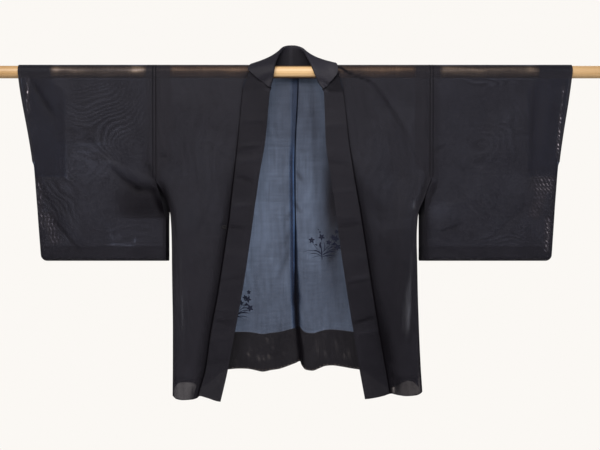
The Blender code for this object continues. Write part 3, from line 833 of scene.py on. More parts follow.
    # the threads themselves
    for factor in (sewn, weave, ringTone):
        shown = addNode(tree, "ShaderNodeMath", {0: shown, 1: factor}, operation="MULTIPLY")
    shine = addNode(tree, "ShaderNodeMath", {0: shown, 1: look["specular"]}, operation="MULTIPLY")
    # painted light: the dots also lighten the threads' own colour, as well as letting light through
    gleam = {0: dots, 1: look["glintShine"], 2: shown}
    shown = addNode(tree, "ShaderNodeMath", gleam, operation="MULTIPLY_ADD")
    colour = {0: shown, 6: linear(look["threadDeep"]), 7: linear(look["thread"])}
    colour = addNode(tree, "ShaderNodeMix", colour, data_type="RGBA", clamp_factor=False)
    bump = addNode(tree, "ShaderNodeBump", {"Height": net, "Strength": 0.2, "Distance": 0.0002})
    threads = {
        "Base Color": colour.outputs[2],
        "Roughness": look["roughness"],
        "Specular IOR Level": shine,
        "Sheen Weight": look["sheen"],
        "Sheen Roughness": 0.5,
        "Normal": bump,
    }
    threads = addNode(tree, "ShaderNodeBsdfPrincipled", threads)
    cloth = addNode(tree, "ShaderNodeMixShader", {0: passed, 1: threads, 2: holes})
    addNode(tree, "ShaderNodeOutputMaterial", {"Surface": cloth})
    return material


def barePine():
    # Turned pine, sanded and left bare: pale honey with fine brown growth lines, and a soft satin gleam.
    look = {
        "early": "#c6a77c",
        "late": "#a88152",
        "ringPitch": 3.4,
        "roughness": 0.42,
        "ends": "#c8bca8",  # painted shade: the ends darker, as the light falls off towards the sides, the right one more so
        "endsFrom": 0.45,
        "endsTo": 0.78,
        "leftShare": 0.55,
        "paintedRimShade": "#5a452b",  # painted shade: its rounded top and underside in the neck lie in the collar's shade
        "neck": 0.075,
    }
    material, tree = newMaterial("barePine")
    spot = addNode(tree, "ShaderNodeTexCoord").outputs["Object"]
    axes = addNode(tree, "ShaderNodeSeparateXYZ", {0: spot}).outputs
    pith = addNode(tree, "ShaderNodeMapping", {0: spot, 1: (0.0, 0.021, 0.016), 3: (0.06, 1.0, 1.0)})
    rings = {0: pith, "Scale": 0.314 / (look["ringPitch"] * mm), "Distortion": 1.6}
    rings.update({"Detail": 2.0, "Detail Scale": 0.6})
    grown = {"wave_type": "RINGS", "rings_direction": "X", "wave_profile": "SAW"}
    rings = addNode(tree, "ShaderNodeTexWave", rings, **grown)
    fibre = addNode(tree, "ShaderNodeMapping", {0: spot, 3: (14.0, 900.0, 900.0)})
    fibres = addNode(tree, "ShaderNodeTexNoise", {"Vector": fibre, "Scale": 1.0, "Detail": 3.0})
    share = addNode(tree, "ShaderNodeMath", {0: rings.outputs["Fac"], 1: 0.62}, operation="MULTIPLY")
    share = addNode(tree, "ShaderNodeMath", {0: fibres, 1: 0.45, 2: share}, operation="MULTIPLY_ADD")
    share = addNode(tree, "ShaderNodeMath", {0: share, 1: 0.2}, operation="SUBTRACT", use_clamp=True)
    grain = {0: share, 6: linear(look["early"]), 7: linear(look["late"])}
    colour = addNode(tree, "ShaderNodeMix", grain, data_type="RGBA")
    # painted shade: the rod grows darker towards both ends, less so on the left
    endShade = []
    for sign, most in ((-1, 1.0), (1, look["leftShare"])):
        end = {0: axes["X"], 1: sign * look["endsFrom"], 2: sign * look["endsTo"], 3: 0.0, 4: most}
        endShade.append(addNode(tree, "ShaderNodeMapRange", end))
    endShade = addNode(tree, "ShaderNodeMath", {0: endShade[0], 1: endShade[1]}, operation="MAXIMUM")
    shadedEnds = {0: endShade, 6: colour.outputs[2], 7: linear(look["ends"])}
    colour = addNode(tree, "ShaderNodeMix", shadedEnds, data_type="RGBA", blend_type="MULTIPLY")
    # painted shade: the rod darker along its top and underside where it lies in the neck
    height = addNode(tree, "ShaderNodeMath", {0: axes["Z"]}, operation="ABSOLUTE")
    rimShade = addNode(tree, "ShaderNodeMapRange", {0: height, 1: 0.0098, 2: 0.0138, 3: 0.0, 4: 1.0})
    inNeck = addNode(tree, "ShaderNodeMath", {0: axes["X"]}, operation="ABSOLUTE")
    inNeck = addNode(tree, "ShaderNodeMath", {0: inNeck, 1: look["neck"]}, operation="LESS_THAN")
    rimShade = addNode(tree, "ShaderNodeMath", {0: rimShade, 1: inNeck}, operation="MULTIPLY")
    rimShade = {0: rimShade, 6: colour.outputs[2], 7: linear(look["paintedRimShade"])}
    colour = addNode(tree, "ShaderNodeMix", rimShade, data_type="RGBA", blend_type="MULTIPLY")
    low, high = look["roughness"] - 0.05, look["roughness"] + 0.1
    rough = addNode(tree, "ShaderNodeMapRange", {0: fibres, 3: low, 4: high})
    bump = addNode(tree, "ShaderNodeBump", {"Height": fibres, "Strength": 0.15, "Distance": 0.0002})
    wood = {"Base Color": colour.outputs[2], "Roughness": rough, "Normal": bump}
    wood = addNode(tree, "ShaderNodeBsdfPrincipled", wood)
    addNode(tree, "ShaderNodeOutputMaterial", {"Surface": wood})
    return material


print("finishes ready")


rodLook = {"radius": 15.0, "length": 1600.0, "round": 1.2, "sides": 96}


def makeRod():
    half, radius, soft = rodLook["length"] / 2, rodLook["radius"], rodLook["round"]
    turns = [math.radians(a) for a in (30, 60, 90)]
    rounded = [(soft * (1 - math.cos(a)), radius - soft * (1 - math.sin(a))) for a in turns]
    profile = [(-half, 0.0), (-half, radius - soft)] + [(-half + x, r) for x, r in rounded]
    profile += [(x, radius) for x in spread(-half + 20, half - 20, 40)]
    profile += [(half - x, r) for x, r in reversed(rounded)]
    profile += [(half, radius - soft), (half, 0.0)]
    shape = bmesh.new()
    rings = []
    for x, r in profile:
        if r == 0:
            rings.append([shape.verts.new((x * mm, 0, 0))])
            continue
        ring = []
        for k in range(rodLook["sides"]):
            turn = 2 * math.pi * k / rodLook["sides"]
            ring.append(shape.verts.new((x * mm, r * math.cos(turn) * mm, r * math.sin(turn) * mm)))
        rings.append(ring)
    for a, b in zip(rings, rings[1:]):
        for k in range(rodLook["sides"]):
            n = (k + 1) % rodLook["sides"]
            corners = [a[k % len(a)], a[n % len(a)], b[n % len(b)], b[k % len(b)]]
            shape.faces.new(list(dict.fromkeys(corners)))
    bmesh.ops.recalc_face_normals(shape, faces=shape.faces)
    data = bpy.data.meshes.new("rodWood")
    shape.to_mesh(data)
    shape.free()
    data.materials.append(barePine())
    data.shade_smooth()
    data.set_sharp_from_angle(angle=sharpTurn)
    return place(newObject("rodWood", data), "rod_wood", "rod")


rodPiece = makeRod()
print("rod made")


neckRight = table(
    "turn seam roll_x roll_y roll_z edge_x edge_y edge_z faces",
    (180, -106, -45.5, -20.5, -4, -84, -23.4, -18, 175),
    (157.5, -99, -43.5, -18.5, 9, -95, -23.6, -8, 165),
    (135, -92, -41.5, -13, 19, -103, -23.5, -1, 155),
    (112.5, -84, -38, -4, 29, -108, -21.5, 4, 143),
    (90, -76, -33, 4, 40, -104, -14, 14.5, 128),
    (67.5, -66, -27, 10, 51, -97, -2, 20, 108),
    (45, -55, -21, 14, 60, -87, 12, 17.5, 80),
    (22.5, -42, -16, 17, 65, -69, 22, 13, 45),
    (0, -23, -11, 19, 66.5, -40, 27, 8, 12),
)
neckLeft = table(
    "turn seam roll_x roll_y roll_z edge_x edge_y edge_z faces",
    (180, 106, 56, -20.5, -17, 88, -23.4, -27, 175),
    (157.5, 99, 50, -20, -3, 95, -23.8, -19.5, 165),
    (135, 92, 45, -15, 10, 101, -24.6, -12, 155),
    (112.5, 84, 39, -7, 23, 107, -25, -3, 145),
    (90, 76, 32, 3, 37, 106, -18, 15.5, 132),
    (67.5, 66, 26, 10, 49, 98, -4, 22, 112),
    (45, 55, 19, 14, 58, 87, 12, 17.5, 80),
    (22.5, 42, 12, 17, 64, 69, 22, 13, 45),
    (0, 23, 5, 19, 66.5, 36, 27, 8, 12),
)
neckBack = {"seam": (10, 17.1, -4), "roll": (-4, 20, 67), "edge": (-2, 28, 4), "faces": 0}
necks = {"right": neckRight, "left": neckLeft}

bodyLook = {
    "wall": (0.5, 0.9),
    "step": 6.0,
    "columns": 46,
    "shoulderSteps": 26,
    "nearOuter": (1.2, 2.4, 3.6, 4.8, 7.0),  # columns close to the edges, for the seams' lines
    "nearInner": (1.0, 2.0, 3.2, 4.6, 6.4, 8.6, 11.2, 14.5),
    # cloth folded in. A pair named From is a height, and the length over which the change eases in.
    "armholeSpare": 37.0,
    "sideSpare": 12.0,
    "spareFrom": (-250.0, 40.0),
    "centreSpare": 11.0,
    "centreShare": (1.25, 0.9),
    "centreFrom": (-60.0, 100.0),
    "edgeSpare": 4.0,  # where the side's seam allowance lies on top of its hem
    "footSpare": (-3.0, 13.0),  # the right collar's allowance by its foot
    "footFrom": (-700.0, 60.0),
    "hemLine": 2.2,
    "seamPair": 3.4,
    "ridgeHighlight": 0.3,
    "ridgeHalf": 1.8,
    # over the rod
    "rodFrom": (-17.0, 4.0),
    "rodTopFrom": (8.0, 7.0),
    "rodTopShare": 0.55,
    "rodShine": 0.20,
    "rodCool": 0.0,
    # the fronts: light let through, shade of the thread, and how blue the light is
    "frontLight": 0.82,
    "frontCool": -0.2,
    "streakWarmth": 0.3,
    "doubledFrom": (-377.0, 160.0),
    "lowLight": 0.315,
    "lowTone": 0.96,
    "patchFrom": (-728.0, 14.0),
    "patchLight": {"right": 1.30, "left": 1.05},
    "patchCool": {"right": 0.0, "left": -0.12},
    "collarFrom": (-130.0, 220.0),
    "collarShade": (0.25, 0.80),
    "collarReach": (5.0, 17.0),
    "collarLine": (1.0, -1.6),
    "collarLineFrom": (-60.0, 260.0),
    # the back
    "backLight": 1.08,
    # painted shade: the back lets bluer light through, as from a wall behind in shade
    "backCool": 0.7,
    "spareCool": 1.25,
    "rolledFrom": (-150.0, 70.0),
    "rolledTo": (-470.0, 120.0),
    "rolledAt": (9.0, 3.2),  # how far off the seam, and its half width
    "rolledShade": 0.52,
    "rolledCool": 0.8,
    "gapAt": (3.8, 2.0),
    "gapLight": 0.5,
    "pleatFrom": (-330.0, 240.0),
    "pleatOff": (0.2, 0.8),
    "pleatHalf": (1.3, 6.4),
    "pleatShade": (0.50, 0.80),
    "pleatTone": 0.85,
    "pleatCool": 0.6,
    "bandTone": 0.50,
    "hemTone": 0.6,
    "hemFrom": (-709.0, 4.0),
    "clothRing": 22.0,
    "frontRings": 0.08,
    "backRings": 0.04,
}


def spareWidth(z):
    # the width of cloth folded in at the armhole and side, wide at the shoulder
    return mix(bodyLook["sideSpare"], bodyLook["armholeSpare"], above(z, bodyLook["spareFrom"]))


def rodClose(z):
    # 1 where the cloth is drawn tight over the rod and its weave opens, less so near the top
    return above(z, bodyLook["rodFrom"]) * (1 - bodyLook["rodTopShare"] * above(z, bodyLook["rodTopFrom"]))


def rodGleam(x, z, strength):
    # painted highlight: the cloth lets more light through along the line where the rod's own gleam would
    # show, wavering where the cloth ripples over it
    line = 4.0 + 1.2 * math.sin(x / 19) + 0.8 * math.sin(x / 7.3)
    wide = 5.6 + 1.6 * math.sin(x / 27)
    return strength * (0.7 + 0.3 * math.sin(x / 31)) * peak(z - line, wide)


def softly(value, away, reach=9.0):
    # fades a value out over the last millimetres before a doubled edge
    return value * ease((away + 0.5) / reach)


def offSide(side, x, z):
    if z > hang["armholeEnd"]:
        return hang["armhole"] - abs(x)
    return abs(edgeAt("side", side, z) - x)


def clothBeat(x, z):
    # faint upright rings of the body's two layers, in turns
    return x / bodyLook["clothRing"] + 0.8 * math.sin(z / 95) + 0.5 * math.sin(x / 43 + z / 31)


def pairedSeam(offEdge):
    # a sewn edge shows as a dark line on each side of the join, with a painted highlight on the ridge between
    # them
    return 0.5 + abs(offEdge - bodyLook["seamPair"])


# painted highlight: the ridge between a seam's dark lines is lit, in the light let through and the thread's
# colour
def ridgeHighlight(offEdge):
    return bodyLook["ridgeHighlight"] * peak(offEdge, bodyLook["ridgeHalf"])


def frontMarks(side, x, z, inner):
    look = bodyLook
    offEdge = offSide(side, x, z)
    seam = abs(x - inner)
    folded = max(hang["frontTurnUp"] - z, spareWidth(z) - offEdge)
    dense = max(
        hang["frontHem"] + look["hemLine"] - z,
        look["edgeSpare"] - offEdge if z < hang["armholeEnd"] else -farOff,
        mix(*look["footSpare"], below(z, look["footFrom"])) - seam if side == "right" else -farOff,
    )
    light, tone = lightAt(-1, x, z)
    light *= look["frontLight"]
    patch = 0.0
    if z < hang["frontTurnUp"]:
        # doubled below here, but lighter again where the back's hem no longer hangs behind it
        doubled = below(z, look["doubledFrom"])
        patch = below(z, look["patchFrom"])
        light *= mix(mix(1.0, look["lowLight"], doubled), look["patchLight"][side], patch)
        tone *= mix(look["lowTone"], 1.0, doubled)
    # the collar's thick edge shades the cloth beside it, more so lower down
    low = below(z, look["collarFrom"])
    shade = mix(*look["collarShade"], low) * peak(seam, mix(*look["collarReach"], low))
    light *= 1 - shade
    tone *= 1 - 0.9 * shade
    streak = streakAt(-1, x, z)
    ridge = ridgeHighlight(offEdge) if z > hang["armholeEnd"] else 0.0
    light += ridge
    tone += ridge
    light += rodGleam(x, z, look["rodShine"]) + streak
    drawn = softly(rodClose(z), -folded)
    near = pairedSeam(offEdge) if z > hang["armholeEnd"] else offEdge
    near = min(near, seam + mix(*look["collarLine"], below(z, look["collarLineFrom"])))
    cool = mix(look["frontCool"], look["rodCool"], drawn) - look["streakWarmth"] * min(max(streak, 0.0), 1.0)
    cool = mix(cool, look["patchCool"][side], patch)
    rings = look["frontRings"] * (1 - drawn)
    return marks(folded, dense, near, (light, tone), cool, drawn, beat=clothBeat(x, z), fringe=rings)


def shoulderMarks(side, x, turn, inner):
    offEdge = offSide(side, x, 0)
    near = min(pairedSeam(offEdge), abs(x - inner))
    z = hang["rodRadius"] * math.sin(math.radians(turn))
    folded = spareWidth(0) - offEdge
    light, tone = lightAt(-1, x, z) if turn > 90 else (1.0, 1.0)
    light += rodGleam(x, z, bodyLook["rodShine"])
    # painted light: the thread lighter towards the top of the rod
    lit = (light, tone * mix(1.0, 1.15, z / hang["rodRadius"]))
    drawn = softly(rodClose(z), -folded)
    return marks(folded, -farOff, near, lit, bodyLook["rodCool"], drawn)


def backMarks(side, x, z, inner):
    look = bodyLook
    offEdge = offSide(side, x, z)
    offCentre = abs(x - inner)
    folded = spareWidth(z) - offEdge
    cool = look["backCool"]
    light, tone = lightAt(1, x, z)
    light *= look["backLight"]
    if side == "right":
        allowance = look["centreSpare"] * mix(*look["centreShare"], below(z, look["centreFrom"]))
        folded = max(folded, allowance - offCentre)
        cool = mix(cool, look["spareCool"], ease((allowance + 3 - offCentre) / 5))
        # below the shoulders the allowance's edge lies double, and a gap shows between it and the seam
        rolled = below(z, look["rolledFrom"]) * (1 - below(z, look["rolledTo"]))
        gap = look["gapLight"] * rolled * peak(offCentre - look["gapAt"][0], look["gapAt"][1])
        rolled *= peak(offCentre - look["rolledAt"][0], look["rolledAt"][1])
        light *= (1 - look["rolledShade"] * rolled) * (1 + gap)
        cool += look["rolledCool"] * rolled
    dense = max(
        hang["backTurnUp"] - z,
        look["edgeSpare"] - offEdge if z < hang["armholeEnd"] else -farOff,
    )
    # the left panel's pleat hangs over the centre seam, and widens towards the hem; painted shade darkens and
    # blues it, beside the light that the fold keeps out
    low = below(z, look["pleatFrom"])
    middle = readTable(centreSeam, "z", z, "x") + mix(*look["pleatOff"], low)
    wide = mix(*look["pleatHalf"], low) * (1 + 0.10 * math.sin(z / 9) + 0.12 * math.sin(z / 23))
    pleat = min(1.0, 1.7 * peak(x - middle, wide))
    light *= 1 - mix(*look["pleatShade"], low) * pleat
    tone *= 1 - look["pleatTone"] * pleat
    cool += look["pleatCool"] * pleat
    streak = streakAt(1, x, z)
    light += streak
    if z < hang["backTurnUp"]:
        # painted light: the specks of light also lighten the thread's colour
        tone += 0.5 * streak
        cool = -0.2 * streak
        tone *= look["bandTone"] * mix(1.0, look["hemTone"], below(z, look["hemFrom"]))
    near = min(pairedSeam(offEdge) if z > hang["armholeEnd"] else offEdge, offCentre + 0.9)
    drawn = softly(rodClose(z), -folded)
    beat = clothBeat(x, z)
    return marks(folded, dense, near, (light, tone), cool, drawn, beat=beat, fringe=look["backRings"])


def columnsBetween(outer, inner, look):
    # places across a row, closer together by both edges
    way = 1 if inner > outer else -1
    first, last = look["nearOuter"][-1], abs(inner - outer) - look["nearInner"][-1]
    middle = [mix(first, last, i / look["columns"]) for i in range(1, look["columns"])]
    places = [0.0, *look["nearOuter"], *middle, last]
    places += [abs(inner - outer) - v for v in reversed(look["nearInner"][:-1])] + [abs(inner - outer)]
    return [outer + way * v for v in places]


def makeBody(side, material):
    neck = necks[side]
    points, pointMarks, pattern = [], [], []
    length = 0.0
    before = None

    def addRow(outer, inner, at, makePoint, makeMarks):
        # at is the row's height, or its turn over the rod
        nonlocal length, before
        across = columnsBetween(outer, inner, bodyLook)
        row = [makePoint(x, at) for x in across]
        middle = row[len(row) // 2]
        length += (middle - before).length if before else 0.0
        before = middle
        for x, point in zip(across, row):
            points.append(point)
            pointMarks.append(makeMarks(side, x, at, inner))
            pattern.append((x, length))

    turnUp = hang["frontTurnUp"]
    heights = spread(hang["frontHem"], turnUp - 1, bodyLook["step"]) + spread(turnUp + 1, 0, bodyLook["step"])
    for z in heights:
        outer = edgeAt("side", side, z)
        inner = edgeAt("seam", side, z) if z < 0 else neck["seam"][0]
        addRow(outer, inner, z, frontPoint, frontMarks)
    for i in range(1, bodyLook["shoulderSteps"]):
        turn = 180 - 180 * i / bodyLook["shoulderSteps"]
        inner = readTable(neck, "turn", turn, "seam")
        addRow(sides[side] * hang["armhole"], inner, turn, overRod, shoulderMarks)
    turnUp = hang["backTurnUp"]
    heights = [0, -4] + spread(-9, turnUp + 1, bodyLook["step"])
    heights += spread(turnUp - 1, hang["backHem"], bodyLook["step"])
    for z in heights:
        outer = edgeAt("side", side, z)
        inner = neck["seam"][-1] if z == 0 else readTable(centreSeam, "z", z, "x")
        addRow(outer, inner, z, backPoint, backMarks)
    across = len(columnsBetween(0, 1000, bodyLook))
    faces = gridFaces(len(points) // across, across, side == "left")
    name = "body" + side.capitalize()
    obj = makeCloth(name, points, faces, pointMarks, pattern, material, bodyLook["wall"])
    return place(obj, "body_cloth", "body_" + side)


bodySilk = sheerSilk("bodyLenoSilk", single=0.34, folded=0.25, dense=0.08, drawnOpen=0.48)
bodies = {side: makeBody(side, bodySilk) for side in sides}
print("body made")


goreLook = {
    "wall": (0.5, 0.9),
    "inset": 2.3,  # the gore's edges lie inside the panels'
    "drop": 2.0,
    "columns": 12,
    "step": 8.0,
    "bulge": 2.0,
    "bulgeTop": -345.0,
    "bulgeEase": 120.0,
    "cool": 0.4,
}


def makeGore(side, material):
    sign = sides[side]
    points, pointMarks, pattern = [], [], []
    columns = goreLook["columns"] + 1
    for z in spread(hang["frontHem"], hang["armholeEnd"] - goreLook["drop"], goreLook["step"]):
        x = edgeAt("side", side, z)
        front = frontPoint(x, z)
        curved = hemShare(z, hang["frontHem"])
        back = backPoint(x, mix(hang["hemCurveTop"], hang["backHem"], curved) if curved else z)
        front.y += goreLook["inset"]
        back.y -= goreLook["inset"]
        wide = (front - back).length
        for i in range(columns):
            share = i / (columns - 1)
            point = front.lerp(back, share)
            bulge = goreLook["bulge"] * ease((goreLook["bulgeTop"] - z) / goreLook["bulgeEase"])
            point.x = x + sign * bulge * math.sin(math.pi * share)
            points.append(point)
            offEdge = wide * min(share, 1 - share)
            pointMarks.append(marks(hang["frontTurnUp"] - z, seam=offEdge, cool=goreLook["cool"]))
            pattern.append((wide * share, z))
    faces = gridFaces(len(points) // columns, columns, side == "right")
    name = "gore" + side.capitalize()
    obj = makeCloth(name, points, faces, pointMarks, pattern, material, goreLook["wall"])
    return place(obj, "gore_cloth", "gore_" + side)


goreSilk = sheerSilk("goreLenoSilk", single=0.3, folded=0.25, dense=0.08)
gores = {side: makeGore(side, goreSilk) for side in sides}
print("gores made")


sleeveOutline = table(
    "z front_right back_right out_right front_left back_left out_left",
    (17, -331, -331, -658, 331, 331, 669),
    (0, -331, -331, -657, 331, 331, 667.5),
    (-216, -331, -331, -622.5, 331, 331, 637),
    (-250, -331, -331, -619.3, 331, 331, 633.8),
    (-254, -330, -330, -619, 330, 330, 633.5),
    (-288, -320.5, -309, -616.5, 318.5, 315, 631),
    (-314, -313, -299, -614.5, 315.2, 306, 629),
    (-326, -310, -297.4, -613.5, 314.8, 302.8, 628.2),
    (-362, -303.6, -297.8, -611, 314.5, 302.4, 626),
    (-453, -303.6, -297.5, -604, 312.5, 302.2, 620),
)
sleeveLook = {
    "wall": (0.5, 0.9),
    "step": 4.6,
    "columns": 80,
    "shoulderSteps": 26,
    "nearOuter": (1.2, 2.4, 3.6, 4.8, 7.0),
    "nearInner": (3.5,),
    "bottom": -453.0,
    "bottomLine": 3.0,
    "band": -418.0,
    "bandTone": 0.86,
    "closedEdge": 9.0,
    "corner": 14.0,
    "cuffEnd": -216.0,
    "cuffShut": 8.0,  # the cuff closes over this height
    "cuffEdge": 6.5,
    "facing": {"right": (549, 581), "left": (566, 590)},  # where the turned-in cuff ends, and ends on the rod
    "facingFrom": (-45.0, 25.0),
    "facingEnd": -248.0,
    "facingTone": {"right": 0.93, "left": 1.0},
    "facingCool": 0.5,
    "facingRings": 0.3,
    "armholeSpare": 19.0,
    "seamSpare": 8.0,
    "edgeSpare": 12.0,
    "innerHem": 16.0,
    "innerHemFrom": (-254.0, 20.0),
    "wideHem": 1.6,
    "wideHemFrom": (-350.0, 20.0),
    "besideFrom": (-250.0, 12.0),  # where the back's edge hangs behind the body's
    "besideTo": (-356.0, 24.0),
    "besideGap": 1.2,
    # for the front sheet, -1, and the back one, 1
    "insetFrom": {-1: (-285.0, 30.0), 1: (-266.0, 20.0)},
    "insetWidth": {-1: {"right": 3.5, "left": 11.0}, 1: {"right": 15.0, "left": 11.0}},
    "insetShade": 0.8,
    "insetTone": {-1: 0.5, 1: 0.8},
    "cool": 0.25,
    "rodCool": 0.28,
    "rodShine": 0.42,
    "topShine": 0.4,
    "rodEnds": 0.8,
    "rodSpots": ((371.0, 20.0), (566.0, 9.0)),  # where the rod gleams most, and how widely
    "bareOff": 7.4,  # the back sheet's bare places lie this far out from the dots in front of them
    "bareWide": 1.1,
    "bareLight": 0.95,
}
# lines along which both layers of a sleeve let the light straight through
glints = table(
    "face x_top z_top x_foot z_foot half_width strength",
    (-1, -634, -14, -633, -66, 4, 1.0),
    (-1, -634, -62, -631, -98, 5, 0.7),
    (-1, -608, -262, -598, -375, 6, 0.6),
    (-1, -586, -340, -566, -412, 16, 0.5),
    (-1, 645, -34, 639, -112, 3, 0.7),
    (-1, 639, -98, 631, -198, 3.6, 1.0),
    (-1, 600, -250, 598, -290, 33, 0.62),
    (-1, 592, -288, 574, -350, 17, 0.42),
    (-1, 608, -350, 604, -432, 6.5, 0.8),
)
glintLines = linesOf(glints)
# circles of the moire's rings on each sleeve: their middle and how far apart they stand, and where they
# show, how far and how strongly
hills = table(
    "side x z pitch show_x show_z half_x half_z strength",
    ("right", -500, 36, 10.4, -440, -112, 84, 92, 0.60),
    ("right", -691, -439, 13.5, -556, -300, 44, 54, 0.62),
    ("right", -420, -150, 16.0, -400, -390, 90, 40, 0.24),
    ("right", -560, -100, 14.0, -470, -240, 60, 60, 0.16),
    ("left", 460, 110, 10.0, 460, -26, 82, 12, 0.7),
    ("left", 463, -175, 15.0, 463, -170, 80, 55, 0.20),
    ("left", 460, -308, 14.0, 460, -308, 74, 46, 0.22),
    ("left", 610, -60, 16.0, 520, -110, 60, 80, 0.18),
    ("left", 500, -500, 10.5, 500, -400, 110, 18, 0.45),
)


def beatAt(side, x, z):
    # turns of the moire's rings at a point of a sleeve, and their strength there
    turns = total = fringe = 0.0
    for i, own in enumerate(hills["side"]):
        if own == side:
            awayX = (x - hills["show_x"][i]) / hills["half_x"][i]
            awayZ = (z - hills["show_z"][i]) / hills["half_z"][i]
            share = math.exp(-awayX * awayX - awayZ * awayZ) + 1e-6
            turns += share * math.hypot(x - hills["x"][i], z - hills["z"][i]) / hills["pitch"][i]
            total += share
            fringe += share * hills["strength"][i]
    turns = turns / total + 0.4 * math.sin(x / 17 + z / 29) + 0.3 * math.sin(z / 11 - x / 37)
    return turns, min(fringe, 1.0)


def glintAt(x, z, wide):
    glint = 0.0
    for i, fade, across in linesNear(glintLines, -1, x, z, 0.1, 1.6 * wide):
        across /= wide
        glint = max(glint, glints["strength"][i] * fade * min(1.0, 1.5 * lineBell(across)))
    return glint


def roundCorner(x, z, outer, sign):
    # draws points near the lower outer corner in to a quarter circle
    across = sleeveLook["corner"] - abs(outer - x)
    down = sleeveLook["corner"] - (z - sleeveLook["bottom"])
    if across <= 0 or down <= 0:
        return x, z
    scale = max(across, down) / math.hypot(across, down)
    return x - sign * across * (1 - scale), z + down * (1 - scale)


def sleeveMarks(side, x, z, inner, face):
    look = sleeveLook
    offCuff = abs(readTable(sleeveOutline, "z", z, "out_" + side) - x)
    offInner = abs(x - inner)
    facing = min(abs(x) - mix(*look["facing"][side], above(z, look["facingFrom"])), z - look["facingEnd"])
    spare = min(look["armholeSpare"] - offInner, z - hang["armholeEnd"])
    closed = look["edgeSpare"] - offCuff if z < look["cuffEnd"] else -farOff
    folded = max(facing, spare, look["seamSpare"] - offInner, closed, look["band"] - z)
    cuffEdge = innerHem = -farOff
    if face < 0 and z > look["cuffEnd"]:
        cuffEdge = look["cuffEdge"] - offCuff
    if face > 0 and z < hang["armholeEnd"]:
        wider = mix(1.0, look["wideHem"], above(z, look["wideHemFrom"]))
        innerHem = look["innerHem"] * below(z, look["innerHemFrom"]) * wider - offInner
    dense = max(cuffEdge, innerHem, look["bottom"] + look["bottomLine"] - z)
    near = pairedSeam(offInner) if z > hang["armholeEnd"] else farOff
    light, tone = lightAt(face, x, z)
    ridge = ridgeHighlight(offInner) if z > hang["armholeEnd"] and face < 0 else 0.0
    light += ridge
    tone += ridge
    cool = look["cool"]
    if facing > 0:
        tone *= look["facingTone"][side]
        cool += look["facingCool"]
    elif z < look["band"]:
        tone *= look["bandTone"]
    # the gore behind keeps the light from the inner edge, and painted shade darkens the thread there
    inset = below(z, look["insetFrom"][face]) * peak(offInner, look["insetWidth"][face][side])
    light *= 1 - look["insetShade"] * inset
    tone *= 1 - look["insetTone"][face] * inset
    glint = bare = 0.0
    if face < 0:
        glint = glintAt(x, z, 1.0)
    else:
        bare = look["bareLight"] * glintAt(x - sides[side] * look["bareOff"], z, look["bareWide"])
    beat, fringe = beatAt(side, x, z) if face < 0 else (0.0, 0.0)
    drawn = softly(rodClose(z), -max(facing, spare))
    ends = look["rodEnds"] * sum(peak(abs(x) - at, half) for at, half in look["rodSpots"])
    light += rodGleam(x, z, look["rodShine"] + ends) + streakAt(face, x, z)
    light *= 1 - 0.75 * min(1.0, 1.6 * glint)
    shine = max(glint, bare)
    cool = mix(cool, 0.0 if shine > 0.05 else look["rodCool"], max(drawn, min(1.0, 3 * shine)))
    fringe *= (1 - drawn) * (look["facingRings"] if facing > 0 else 1.0)
    return marks(folded, dense, near, (light, tone), cool, drawn, glint, bare, beat, fringe)


def sleeveSheet(side, face):
    sign = sides[side]
    layer = "front_" if face < 0 else "back_"
    look = sleeveLook
    turns = (0, 15, 30, 45, 60, 75, 90)
    heights = [(z, 0.0) for z in spread(0, look["band"] + 1, look["step"])]
    closing = look["bottom"] + look["closedEdge"]
    heights += [(z, 0.0) for z in spread(look["band"] - 1, closing + 2, look["step"])]
    heights += [(look["bottom"] + look["closedEdge"] * (1 - math.sin(math.radians(a))), a) for a in turns]
    rows = []
    for z, low in heights:
        inner = readTable(sleeveOutline, "z", z, layer + side)
        outer = readTable(sleeveOutline, "z", z, "out_" + side)
        depth = readTable(depths, "z", z, "sleeve")
        flat = outer - sign * look["closedEdge"]
        closed = ease((look["cuffEnd"] - z) / look["cuffShut"])
        row = [(x, 0.0) for x in columnsBetween(inner, flat, look)]
        row += [(outer - sign * look["closedEdge"] * (1 - math.sin(math.radians(a))), a) for a in turns[1:]]
        line = []
        for x, out in row:
            thin = math.cos(math.radians(low)) * mix(1.0, math.cos(math.radians(out)), closed)
            rx, rz = roundCorner(x, z, outer, sign)
            point = hangPoint(face, rx, rz, depth)
            point.y *= thin
            if face > 0:
                # below the armhole the sleeve's back edge hangs behind the body's
                beside = below(z, look["besideFrom"]) * above(z, look["besideTo"])
                beside *= ease((26 - abs(x - inner)) / 20)
                point.y = mix(point.y, max(point.y, bodyDepth(rx, rz) + look["besideGap"]), beside)
            line.append((point, sleeveMarks(side, x, z, inner, face)))
        rows.append((z, line))
    return rows


